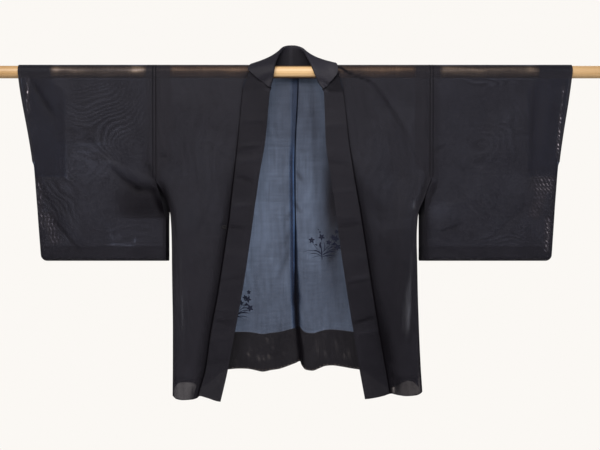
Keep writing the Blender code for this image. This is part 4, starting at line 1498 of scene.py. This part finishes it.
def makeSleeve(side, material):
    front = sleeveSheet(side, -1)
    back = sleeveSheet(side, 1)
    columns = len(front[0][1])
    points, pointMarks, pattern, index = [], [], [], {}

    def add(key, point, mark, length):
        index[key] = len(points)
        points.append(point)
        pointMarks.append(mark)
        pattern.append((point.x, length))

    last = len(front) - 1
    over = math.pi * hang["rodRadius"]
    for r, (z, line) in enumerate(front):
        for c, (point, mark) in enumerate(line):
            add(("front", r, c), point, mark, z)
    for r, (z, line) in enumerate(back):
        for c, (point, mark) in enumerate(line):
            shut = r == last or (c == columns - 1 and z < sleeveLook["cuffEnd"] - sleeveLook["cuffShut"])
            if shut:
                index["back", r, c] = index["front", r, c]
            else:
                add(("back", r, c), point, mark, over - z)
    steps = sleeveLook["shoulderSteps"]
    for i in range(1, steps):
        turn = 180 - 180 * i / steps
        for c, (point, mark) in enumerate(front[0][1]):
            lifted = sleeveMarks(side, point.x, 0.0, sides[side] * hang["armhole"], -1 if turn > 90 else 1)
            z = hang["rodRadius"] * math.sin(math.radians(turn))
            shine = sleeveLook["topShine"]
            lifted[markNames.index("light")] += rodGleam(point.x, z, shine) - rodGleam(point.x, 0.0, shine)
            lifted[markNames.index("open")] *= rodClose(z)
            lifted[markNames.index("glint")] = lifted[markNames.index("bare")] = 0.0
            add(("top", i, c), overRod(point.x, turn), lifted, over * i / steps)
    loop = [("front", r) for r in range(last, -1, -1)]
    loop += [("top", i) for i in range(1, steps)]
    loop += [("back", r) for r in range(last + 1)]
    faces = []
    for (nameA, a), (nameB, b) in zip(loop, loop[1:]):
        for c in range(columns - 1):
            corners = [(nameA, a, c), (nameA, a, c + 1), (nameB, b, c + 1), (nameB, b, c)]
            face = [index[key] for key in corners]
            if side == "right":
                face.reverse()
            faces.append(tuple(dict.fromkeys(face)))
    name = "sleeve" + side.capitalize()
    obj = makeCloth(name, points, faces, pointMarks, pattern, material, sleeveLook["wall"])
    return place(obj, "sleeve_cloth", "sleeve_" + side)


sleeveSilk = sheerSilk("sleeveLenoSilk", single=0.33, folded=0.25, dense=0.06, drawnOpen=0.49)
sleeves = {side: makeSleeve(side, sleeveSilk) for side in sides}
print("sleeves made")


lapel = table(
    "z_right roll_right z_left roll_left angle flap droop",
    (-44, -53.6, -47, 73.4, 0, 0, 0),
    (-39, -53, -42, 71, 75, 2, 1),
    (-31, -51, -35, 65.5, 150, 8, 5),
    (-18, -47.5, -26, 60, 180, 19, 9),
)
collarLook = {
    "wall": (1.6, 1.6),
    "roll": 2.5,
    "lip": 1.0,
    "tuck": 3.4,  # how far the flap's edge leans back towards the band
    "proud": 0.35,
    "foot": 0.8,
    "cadWall": 1.5,
    "step": 6.0,
    "standSteps": 12,
    "rollSteps": 8,
    "flapSteps": 12,
    "shoulderSteps": 10,
    "fill": 3,  # rows put in between the neck's sections
    "bandTone": {"right": (0.84, 0.76), "left": (0.80, 0.93)},  # low down and at the chest
    "bandFrom": (-600.0, 500.0),
    "insideTone": (0.36, 0.28),  # painted shade: how dark the neck's inside is, and how much less so at its middle
    "insideMiddle": (-5.0, 4.0),  # where that middle is, and its half width
    "flapTone": (1.12, 1.5, 0.86),  # painted light on the right flap and the left flap, and painted shade on the inside on the left
    "flapFrom": (-20.0, 60.0),
}


def collarSection(seam, roll, facesTo, angle, edge=None, flap=0.0, droop=0.0):
    # the collar's middle surface across: up the stand, round the outward fold and down the flap
    look = collarLook
    up = (roll - seam).normalized()
    outward = Vector((0, math.cos(math.radians(facesTo)), math.sin(math.radians(facesTo))))
    outward = (outward - up * outward.dot(up)).normalized()
    turn = math.radians(angle)
    length = math.pi * look["roll"]
    standEnd = roll - up * mix(length, look["roll"], angle / 180)
    points = [seam.lerp(standEnd, i / look["standSteps"]) for i in range(look["standSteps"])]
    for i in range(look["rollSteps"] + 1):
        part = turn * i / look["rollSteps"]
        if angle:
            radius = length / turn
            points.append(standEnd + up * radius * math.sin(part) + outward * radius * (1 - math.cos(part)))
        else:
            points.append(standEnd + up * length * i / look["rollSteps"])
    start = points[-1]
    ahead = up * math.cos(turn) + outward * math.sin(turn)
    edge = edge or start + ahead * (look["lip"] + flap) + Vector((0, look["tuck"] * angle / 180, -droop))
    reach = (edge - start).length
    for i in range(1, look["flapSteps"] + 1):
        share = i / look["flapSteps"]
        tangent = start + ahead * reach * share
        points.append(tangent.lerp(start.lerp(edge, share), share**0.5))
    return points


def bandPoint(x, z):
    point = frontPoint(x, z)
    point.y += collarLook["cadWall"] / 2 - collarLook["proud"]
    return point


def collarFront(side):
    sections = []
    lapelZ = lapel["z_" + side]
    for z in spread(hang["frontHem"], lapelZ[0] - 5, collarLook["step"]):
        seam = bandPoint(edgeAt("seam", side, z), z)
        inner = bandPoint(edgeAt("band", side, z), z)
        flat = collarSection(seam, inner - (inner - seam).normalized() * collarLook["lip"], 180, 0)
        sections.append([bandPoint(p.x, z) for p in flat])
    neckSections = []
    for i, z in enumerate(lapelZ):
        angle = lapel["angle"][i]
        seam = bandPoint(edgeAt("seam", side, z), z)
        roll = bandPoint(lapel["roll_" + side][i], z)
        seam += (roll - seam).normalized() * collarLook["foot"] * angle / 180
        neckSections.append(
            collarSection(seam, roll, 180, angle, flap=lapel["flap"][i], droop=lapel["droop"][i])
        )
    return sections, neckSections


def collarNeck(side):
    neck = necks[side]
    middle = hang["rodRadius"] - collarLook["cadWall"] / 2 + collarLook["proud"]
    sections = []
    for i in range(collarLook["shoulderSteps"] + 1):
        turn = 180 - 180 * i / collarLook["shoulderSteps"]
        row = {column: readTable(neck, "turn", turn, column) for column in neck}
        seam = overRod(row["seam"], turn, middle)
        roll = Vector((row["roll_x"], row["roll_y"], row["roll_z"]))
        edge = Vector((row["edge_x"], row["edge_y"], row["edge_z"]))
        seam += (roll - seam).normalized() * collarLook["foot"]
        sections.append(collarSection(seam, roll, row["faces"], 180, edge=edge))
    return sections


def fillBetween(sections, count):
    # smooth rows between the sections, passing through each of them
    filled = []
    for i in range(len(sections) - 1):
        a, b = sections[max(i - 1, 0)], sections[i]
        c, d = sections[i + 1], sections[min(i + 2, len(sections) - 1)]
        for k in range(count + 1):
            t = k / (count + 1)
            row = []
            for p0, p1, p2, p3 in zip(a, b, c, d):
                gaps = [max((q - p).length, 0.01) ** 0.5 for p, q in ((p0, p1), (p1, p2), (p2, p3))]
                leave = arrive = p2 - p1
                if i > 0:
                    leave = leave + gaps[1] * ((p1 - p0) / gaps[0] - (p2 - p0) / (gaps[0] + gaps[1]))
                if i < len(sections) - 2:
                    arrive = arrive + gaps[1] * ((p3 - p2) / gaps[2] - (p3 - p1) / (gaps[1] + gaps[2]))
                point = p1 * (2 * t**3 - 3 * t**2 + 1) + leave * (t**3 - 2 * t**2 + t)
                row.append(point + p2 * (3 * t**2 - 2 * t**3) + arrive * (t**3 - t**2))
            filled.append(row)
    filled.append(sections[-1])
    return filled


def makeCollar(material):
    look = collarLook
    foot = Vector(neckBack["seam"]) + Vector((0, 0, look["foot"]))
    roll, edge = Vector(neckBack["roll"]), Vector(neckBack["edge"])
    back = collarSection(foot, roll, neckBack["faces"], 180, edge=edge)
    bandRight, lapelRight = collarFront("right")
    bandLeft, lapelLeft = collarFront("left")
    neckRows = lapelRight + collarNeck("right") + [back] + (lapelLeft + collarNeck("left"))[::-1]
    sections = bandRight + fillBetween(neckRows, look["fill"]) + bandLeft[::-1]
    across = len(sections[0])
    points, pointMarks, pattern = [], [], []
    length = 0.0
    for r, section in enumerate(sections):
        length += (section[0] - sections[max(r - 1, 0)][0]).length
        wide = 0.0
        for c, point in enumerate(section):
            if c:
                wide += (point - section[c - 1]).length
            flatBand = r < len(bandRight) or r >= len(sections) - len(bandLeft)
            points.append(point)
            light, tone = lightAt(-1, point.x, point.z) if flatBand else (1.0, 1.0)
            if flatBand:
                tones = look["bandTone"]["left" if point.x > 0 else "right"]
                tone *= mix(*tones, above(point.z, look["bandFrom"]))
            else:
                # painted shade inside the neck, and painted light on the flaps
                inside = ease((look["standSteps"] + 1 - c) / 3)
                dark, spared = look["insideTone"]
                middle, half = look["insideMiddle"]
                tone *= 1 - inside * (dark - spared * peak(point.x - middle, half))
                right, left, within = look["flapTone"]
                tone *= mix(right, mix(left, within, inside), above(point.x, look["flapFrom"]))
            pointMarks.append(marks(dense=farOff, seam=wide + 0.9, lit=(light, tone)))
            pattern.append((wide, length))
    faces = gridFaces(len(sections), across, False)
    obj = makeCloth("collarBand", points, faces, pointMarks, pattern, material, look["wall"], offset=0.0)
    return place(obj, "collar_cloth", "collar")


collarSilk = sheerSilk("collarLenoSilk", single=0.1, folded=0.1, dense=0.08)
collarPiece = makeCollar(collarSilk)
print("collar made")


loopLook = {
    "cord": 2.2,
    "start": 3.0,
    "leg": 6.6,
    "bendAt": 8.25,
    "spread": 2.4,
    "bow": 1.04,  # how far each leg bows out halfway
    "behind": 1.9,
    "places": {"right": (-155.5, -372, -1), "left": (170.5, -372, 1)},
}


def rolledSilk():
    # A narrow tube of black silk, rolled and stitched shut: dull, with a faint twist of its threads.
    look = {"deep": "#0c0b0d", "thread": "#201e22", "twist": 400.0}
    material, tree = newMaterial("rolledSilk")
    spot = addNode(tree, "ShaderNodeTexCoord").outputs["Object"]
    twist = {0: spot, "Scale": look["twist"], "Distortion": 1.0}
    twist = addNode(tree, "ShaderNodeTexWave", twist, bands_direction="DIAGONAL").outputs["Fac"]
    ends = {0: twist, 6: linear(look["deep"]), 7: linear(look["thread"])}
    colour = addNode(tree, "ShaderNodeMix", ends, data_type="RGBA").outputs[2]
    bump = addNode(tree, "ShaderNodeBump", {"Height": twist, "Strength": 0.3, "Distance": 0.0002})
    silk = {"Base Color": colour, "Roughness": 0.6, "Specular IOR Level": 0.2, "Normal": bump}
    addNode(tree, "ShaderNodeOutputMaterial", {"Surface": addNode(tree, "ShaderNodeBsdfPrincipled", silk)})
    return material


def makeLoop(side, material):
    look = loopLook
    x, z, face = look["places"][side]
    sign = sides[side]
    skin = frontPoint(x, z)
    if face < 0:
        y = skin.y - look["cord"] / 2
    else:
        y = skin.y + look["behind"] + look["cord"] / 2
    centre = Vector((x + sign * look["start"], y, z))
    leg, half = look["leg"], look["spread"]
    route = [(0, half), (leg / 2, half * look["bow"]), (leg, half)]
    for turn in range(75, -76, -15):
        angle = math.radians(turn)
        route.append((look["bendAt"] + half * math.cos(angle), half * math.sin(angle)))
    route += [(leg, -half), (leg / 2, -half * look["bow"]), (0, -half)]
    curve = bpy.data.curves.new("loop", "CURVE")
    curve.dimensions = "3D"
    curve.bevel_depth = look["cord"] / 2 * mm
    curve.bevel_resolution = 4
    curve.use_fill_caps = True
    spline = curve.splines.new("POLY")
    spline.points.add(len(route) - 1)
    for point, (reach, height) in zip(spline.points, route):
        point.co = (*((centre + Vector((sign * reach, 0, height))) * mm), 1)
    draft = newObject("draft", curve)
    data = bpy.data.meshes.new_from_object(draft.evaluated_get(bpy.context.evaluated_depsgraph_get()))
    bpy.data.objects.remove(draft)
    name = "cordLoop" + side.capitalize()
    data.name = name
    data.materials.clear()
    data.materials.append(material)
    data.shade_smooth()
    obj = newObject(name, data)
    return place(obj, "loop_cloth", "loop_" + side)


loopSilk = rolledSilk()
for side in sides:
    makeLoop(side, loopSilk)
print("cord loops made")


sprayLook = {
    "ink": "#070b20",
    "inner": 0.66,  # the inner and outer faces of the denser woven shapes, from the cloth's outer face
    "outer": 0.14,
    "petal": (6.4, 3.0),
    "alongPetal": (0.08, 0.55, 1.0),  # where a petal starts, bends and ends
    "petals": 5,
    "sections": 7,
}
# each spray: the foot of its stems, its size, and which way it leans
sprays = table(
    "x z size lean",
    (70, -446, 1.0, 1),
    (-142, -592, 1.0, 1),
)
# blades and stems of one spray from its foot: start, bend and tip
blades = table(
    "x0 z0 x1 z1 x2 z2 width",
    (0, -6, -1, 14, -2, 30, 2.6),
    (-2, 23, -7, 30, -3, 38, 4.2),
    (-2, 30, -2, 40, -1, 50, 0.8),
    (-1, 48, -2, 58, -5, 62, 0.6),
    (0, 10, -18, 26, -25, 40, 0.8),
    (0, 12, 12, 22, 16, 36, 0.9),
    (4, 14, 20, 28, 26, 48, 0.9),
    (8, 14, 30, 30, 33, 46, 0.9),
    (33, 46, 36, 54, 35, 63, 0.8),
    (6, 10, 28, 14, 38, 25, 0.9),
    (-2, 8, -12, 20, -22, 18, 2.3),
    (-8, 14, -26, 22, -47, 14, 1.0),
    (-1, 2, -14, 16, -34, 8, 1.4),
    (0, 2, -12, 8, -26, -1, 1.0),
    (2, 6, 8, 12, 14, 10, 2.6),
    (8, 10, 20, 16, 36, 12, 2.4),
    (10, 12, 22, 22, 38, 18, 1.5),
    (14, 20, 24, 28, 36, 24, 1.5),
    (20, 30, 26, 34, 34, 32, 1.6),
    (2, 2, 16, 8, 34, 2, 1.7),
    (0, 1, 12, 6, 24, -3, 1.0),
    (4, 16, 8, 26, 6, 36, 1.6),
    (-10, 30, -16, 34, -20, 30, 1.4),
)
flowers = table(
    "x z size turn",
    (-25, 42, 1.2, 0.3),
    (-1, 50, 1.25, 0.9),
    (16, 37, 1.0, 0.1),
    (26, 50, 1.0, 0.6),
    (33, 46, 1.3, 1.1),
    (38, 25, 1.3, 0.8),
    (30, 33, 0.7, 0.2),
    (35, 63, 0.85, 0.3),
    (-5, 62, 0.45, 0.5),
    (-9, 68, 0.3, 0.2),
    (-14, 31, 0.4, 0.2),
)


def denseWeave():
    # Flowers woven closely into the open ground: blue-black silk, dull, so tight that no light comes through.
    material, tree = newMaterial("denseWeave")
    silk = {"Base Color": linear(sprayLook["ink"]), "Roughness": 0.5, "Specular IOR Level": 0.15}
    addNode(tree, "ShaderNodeOutputMaterial", {"Surface": addNode(tree, "ShaderNodeBsdfPrincipled", silk)})
    return material


def bladeRails(start, bend, tip, width):
    # both edges of a blade that swells from its foot and runs out to a point
    left, right = [], []
    count = sprayLook["sections"]
    for k in range(count + 1):
        t = k / count
        x, z = (mix(mix(start[a], bend[a], t), mix(bend[a], tip[a], t), t) for a in (0, 1))
        wayX, wayZ = (mix(bend[a] - start[a], tip[a] - bend[a], t) for a in (0, 1))
        swell = 0.12 + math.sin(math.pi * min(t * 0.9 + 0.1, 1.0)) ** 0.8
        half = width / 2 * swell / math.hypot(wayX, wayZ)
        left.append((x - wayZ * half, z + wayX * half))
        right.append((x + wayZ * half, z - wayX * half))
    return left, right


def makeSprays(material):
    look = sprayLook
    shapes = []
    for s, size in enumerate(sprays["size"]):
        footX, footZ, lean = sprays["x"][s], sprays["z"][s], sprays["lean"][s]

        def spot(x, z):
            return footX + lean * size * x, footZ + size * z

        for b, width in enumerate(blades["width"]):
            ends = [spot(blades["x" + n][b], blades["z" + n][b]) for n in "012"]
            shapes.append(bladeRails(*ends, width * size))
        for f, part in enumerate(flowers["size"]):
            x, z = spot(flowers["x"][f], flowers["z"][f])
            long, wide = (v * size * part for v in look["petal"])
            for k in range(look["petals"]):
                turn = flowers["turn"][f] + 2 * math.pi * k / look["petals"]
                ends = []
                for r in look["alongPetal"]:
                    ends.append((x + r * long * math.cos(turn), z + r * long * math.sin(turn)))
                shapes.append(bladeRails(*ends, wide))
    points, faces = [], []
    for left, right in shapes:
        base = len(points)
        for a, b in zip(left, right):
            for x, z in (a, b):
                skin = backPoint(x, z)
                points.append(Vector((skin.x, skin.y - look["inner"], skin.z)))
                points.append(Vector((skin.x, skin.y + look["outer"], skin.z)))
        ring = (0, 2, 3, 1)
        for k in range(len(left) - 1):
            here, ahead = base + 4 * k, base + 4 * k + 4
            for m in range(4):
                a, b = ring[m], ring[(m + 1) % 4]
                faces.append((here + a, here + b, ahead + b, ahead + a))
        faces.append(tuple(base + m for m in ring))
        faces.append(tuple(len(points) - 4 + m for m in reversed(ring)))
    data = bpy.data.meshes.new("wovenSprays")
    data.from_pydata([p * mm for p in points], [], faces)
    shape = bmesh.new()
    shape.from_mesh(data)
    bmesh.ops.recalc_face_normals(shape, faces=shape.faces)
    shape.to_mesh(data)
    shape.free()
    data.materials.append(material)
    return place(newObject("wovenSprays", data), "body_cloth")


wovenSprays = makeSprays(denseWeave())
print("woven sprays made")


stitchLook = {
    "sewing": {"pitch": 4.2, "length": 2.4, "width": 0.45, "unevenness": 0.25, "seed": 3},
    "tacking": {"pitch": 9.0, "length": 3.0, "width": 0.55, "unevenness": 0.5, "seed": 8},
    "armholeIn": 3.4,
    "armholeOut": 3.4,
    "collarIn": 1.7,
    "cuffIn": 4.0,
    "hemUp": 5.0,
    "hemPast": 3,  # the hem's stitches run on this far past the cloth's edges
    "tackUp": 3.2,
    # each line's first and last height or turn, and the step between its points
    "armholeRun": (-248, 0, 8),
    "overRun": (172, 8, 8),
    "collarRun": (-774, -52, 8),
    "cuffRun": (-212, -2, 8),
    "tackRuns": ((-276, 14, 5), (24, 296, 5)),
    "proud": 0.1,
    "black": "#0b0a0c",
    "pale": "#b3a39c",
}


def twistedThread(name, colour):
    # Fine twisted silk sewing thread, dyed: a soft dull gleam along each stitch.
    material, tree = newMaterial(name)
    silk = {"Base Color": linear(colour), "Roughness": 0.5, "Specular IOR Level": 0.3}
    addNode(tree, "ShaderNodeOutputMaterial", {"Surface": addNode(tree, "ShaderNodeBsdfPrincipled", silk)})
    return material


def stitchTree():
    # lays short stitches at an even pitch along every line of its mesh
    tree = bpy.data.node_groups.new("runningStitch", "GeometryNodeTree")
    tree.is_modifier = True
    for label, kind in (
        ("Line", "Geometry"),
        ("Pitch", "Float"),
        ("Length", "Float"),
        ("Width", "Float"),
        ("Unevenness", "Float"),
        ("Seed", "Int"),
        ("Thread", "Material"),
    ):
        tree.interface.new_socket(label, in_out="INPUT", socket_type="NodeSocket" + kind)
    tree.interface.new_socket("Stitches", in_out="OUTPUT", socket_type="NodeSocketGeometry")
    given = addNode(tree, "NodeGroupInput").outputs
    line = addNode(tree, "GeometryNodeMeshToCurve", {"Mesh": given["Line"]})
    even = {"Curve": line, "Length": given["Pitch"]}
    even = addNode(tree, "GeometryNodeResampleCurve", even, mode="LENGTH")
    way = addNode(tree, "GeometryNodeInputTangent")
    turn = addNode(tree, "FunctionNodeAlignRotationToVector", {"Vector": way}, axis="Z")
    half = addNode(tree, "ShaderNodeMath", {0: given["Width"], 1: 0.5}, operation="MULTIPLY")
    stitch = {"Vertices": 5, "Radius": half, "Depth": given["Length"]}
    stitch = addNode(tree, "GeometryNodeMeshCylinder", stitch)
    least = addNode(tree, "ShaderNodeMath", {0: 1.0, 1: given["Unevenness"]}, operation="SUBTRACT")
    size = {2: least, 3: 1.0, "Seed": given["Seed"]}
    size = addNode(tree, "FunctionNodeRandomValue", size, data_type="FLOAT").outputs[1]
    size = addNode(tree, "ShaderNodeCombineXYZ", {0: 1.0, 1: 1.0, 2: size})
    laid = {"Points": even, "Instance": stitch, "Rotation": turn, "Scale": size}
    laid = addNode(tree, "GeometryNodeInstanceOnPoints", laid)
    laid = addNode(tree, "GeometryNodeRealizeInstances", {0: laid})
    laid = addNode(tree, "GeometryNodeSetMaterial", {0: laid, "Material": given["Thread"]})
    addNode(tree, "NodeGroupOutput", {"Stitches": laid})
    return tree


def makeStitches(name, lines, tree, sizes, thread):
    data = bpy.data.meshes.new(name)
    points, edges = [], []
    for line in lines:
        edges += [(len(points) + k, len(points) + k + 1) for k in range(len(line) - 1)]
        points += [p * mm for p in line]
    data.from_pydata(points, edges, [])
    obj = newObject(name, data)
    sew = obj.modifiers.new("sew", "NODES")
    sew.node_group = tree
    values = {
        "Pitch": sizes["pitch"] * mm,
        "Length": sizes["length"] * mm,
        "Width": sizes["width"] * mm,
        "Unevenness": sizes["unevenness"],
        "Seed": sizes["seed"],
        "Thread": thread,
    }
    for item in tree.interface.items_tree:
        if item.in_out == "INPUT" and item.name in values:
            sew[item.identifier] = values[item.name]
    toMesh(obj)
    return place(obj, "body_cloth")


def laidOn(point, face, proud):
    return Vector((point.x, point.y + face * proud, point.z))


def sewnLines():
    look = stitchLook
    proud = look["proud"]
    lines = []
    for side, sign in sides.items():
        for off in (-look["armholeIn"], look["armholeOut"]):
            x = sign * (hang["armhole"] + off)
            strips = {}
            for face in (-1, 1):
                strips[face] = []
                for z in spread(*look["armholeRun"]):
                    onSleeve = abs(x) > hang["armhole"]
                    depth = readTable(depths, "z", z, "sleeve") if onSleeve else bodyDepth(x, z)
                    strips[face].append(laidOn(hangPoint(face, x, z, depth), face, proud))
            over = [overRod(x, turn, hang["rodRadius"] + proud) for turn in spread(*look["overRun"])]
            lines.append(strips[-1] + over + strips[1][::-1])
        seam = []
        for z in spread(*look["collarRun"]):
            point = bandPoint(edgeAt("seam", side, z) - sign * look["collarIn"], z)
            seam.append(laidOn(point, -1, collarLook["cadWall"] / 2 + proud))
        lines.append(seam)
        for face in (-1, 1):
            cuff = []
            for z in spread(*look["cuffRun"]):
                x = readTable(sleeveOutline, "z", z, "out_" + side) - sign * look["cuffIn"]
                cuff.append(laidOn(hangPoint(face, x, z, readTable(depths, "z", z, "sleeve")), face, proud))
            lines.append(cuff)
        z = hang["frontHem"] + look["hemUp"]
        past = sign * look["hemPast"]
        first, last = edgeAt("side", side, z) - past, edgeAt("seam", side, z) + past
        lines.append([laidOn(frontPoint(x, z), -1, proud) for x in spread(first, last, 6)])
    return lines


def tackedLines():
    look = stitchLook
    z = hang["backHem"] + look["tackUp"]
    inner = -(bodyLook["wall"][1] + look["proud"])
    return [[laidOn(backPoint(x, z), 1, inner) for x in spread(*run)] for run in look["tackRuns"]]


running = stitchTree()
blackThread = twistedThread("blackThread", stitchLook["black"])
paleThread = twistedThread("paleThread", stitchLook["pale"])
sewing = makeStitches("sewingStitches", sewnLines(), running, stitchLook["sewing"], blackThread)
tacking = makeStitches("hemTacking", tackedLines(), running, stitchLook["tacking"], paleThread)
print("stitches laid")


studio = {
    # each light's size, power, place, aim and colour
    "lights": {
        "key": ((2.4, 1.4), 150.0, (-0.7, -2.6, 1.5), (0.0, 0.0, -0.2), "#fffaf2"),
        "fill": ((2.6, 2.0), 30.0, (2.2, -2.6, 0.4), (0.0, 0.0, -0.3), "#f6f8ff"),
        "behind": ((2.6, 1.6), 40.0, (0.4, 2.6, 1.4), (0.0, 0.0, -0.3), "#ffffff"),
    },
    "wall": "#fbf8f4",
    "air": "#f4f4f6",
    "airLight": 0.3,
    "floor": ("#e9e6e0", "#f1efea"),
    "floorReach": 2.2,
    "floorHeight": -1.55,
}


def makeLight(name, size, power, spot, aim, colour):
    data = bpy.data.lights.new(name, "AREA")
    data.shape = "RECTANGLE"
    data.size, data.size_y = size
    data.energy = power
    data.color = linear(colour)[:3]
    obj = newObject(name, data)
    obj.location = spot
    obj.rotation_euler = (Vector(aim) - Vector(spot)).to_track_quat("-Z", "Y").to_euler()


def makeStudio():
    for name, values in studio["lights"].items():
        makeLight(name, *values)
    world = bpy.data.worlds.new("studio")
    world.use_nodes = True
    bpy.context.scene.world = world
    tree = world.node_tree
    tree.nodes.clear()
    wall = addNode(tree, "ShaderNodeBackground", {"Color": linear(studio["wall"]), "Strength": 1.0})
    air = {"Color": linear(studio["air"]), "Strength": studio["airLight"]}
    air = addNode(tree, "ShaderNodeBackground", air)
    seen = addNode(tree, "ShaderNodeLightPath").outputs["Is Camera Ray"]
    both = addNode(tree, "ShaderNodeMixShader", {0: seen, 1: air, 2: wall})
    addNode(tree, "ShaderNodeOutputWorld", {"Surface": both})
    bpy.context.scene.view_settings.view_transform = "Standard"


def makeFloor():
    # A matt pale floor, painted: it gives no gloss and only a faint mottle.
    data = bpy.data.meshes.new("floor")
    reach, low = studio["floorReach"], studio["floorHeight"]
    back = reach * 0.8
    corners = [(-reach, -reach, low), (reach, -reach, low), (reach, back, low), (-reach, back, low)]
    data.from_pydata(corners, [], [(0, 1, 2, 3)])
    obj = newObject("floor", data)
    material, tree = newMaterial("palePaint")
    spot = addNode(tree, "ShaderNodeTexCoord").outputs["Object"]
    mottle = addNode(tree, "ShaderNodeTexNoise", {"Vector": spot, "Scale": 3.0, "Detail": 3.0})
    colour = {0: mottle, 6: linear(studio["floor"][0]), 7: linear(studio["floor"][1])}
    colour = addNode(tree, "ShaderNodeMix", colour, data_type="RGBA").outputs[2]
    paint = {"Base Color": colour, "Roughness": 0.8, "Specular IOR Level": 0.2}
    addNode(tree, "ShaderNodeOutputMaterial", {"Surface": addNode(tree, "ShaderNodeBsdfPrincipled", paint)})
    data.materials.append(material)


makeStudio()
makeFloor()
print("studio ready")
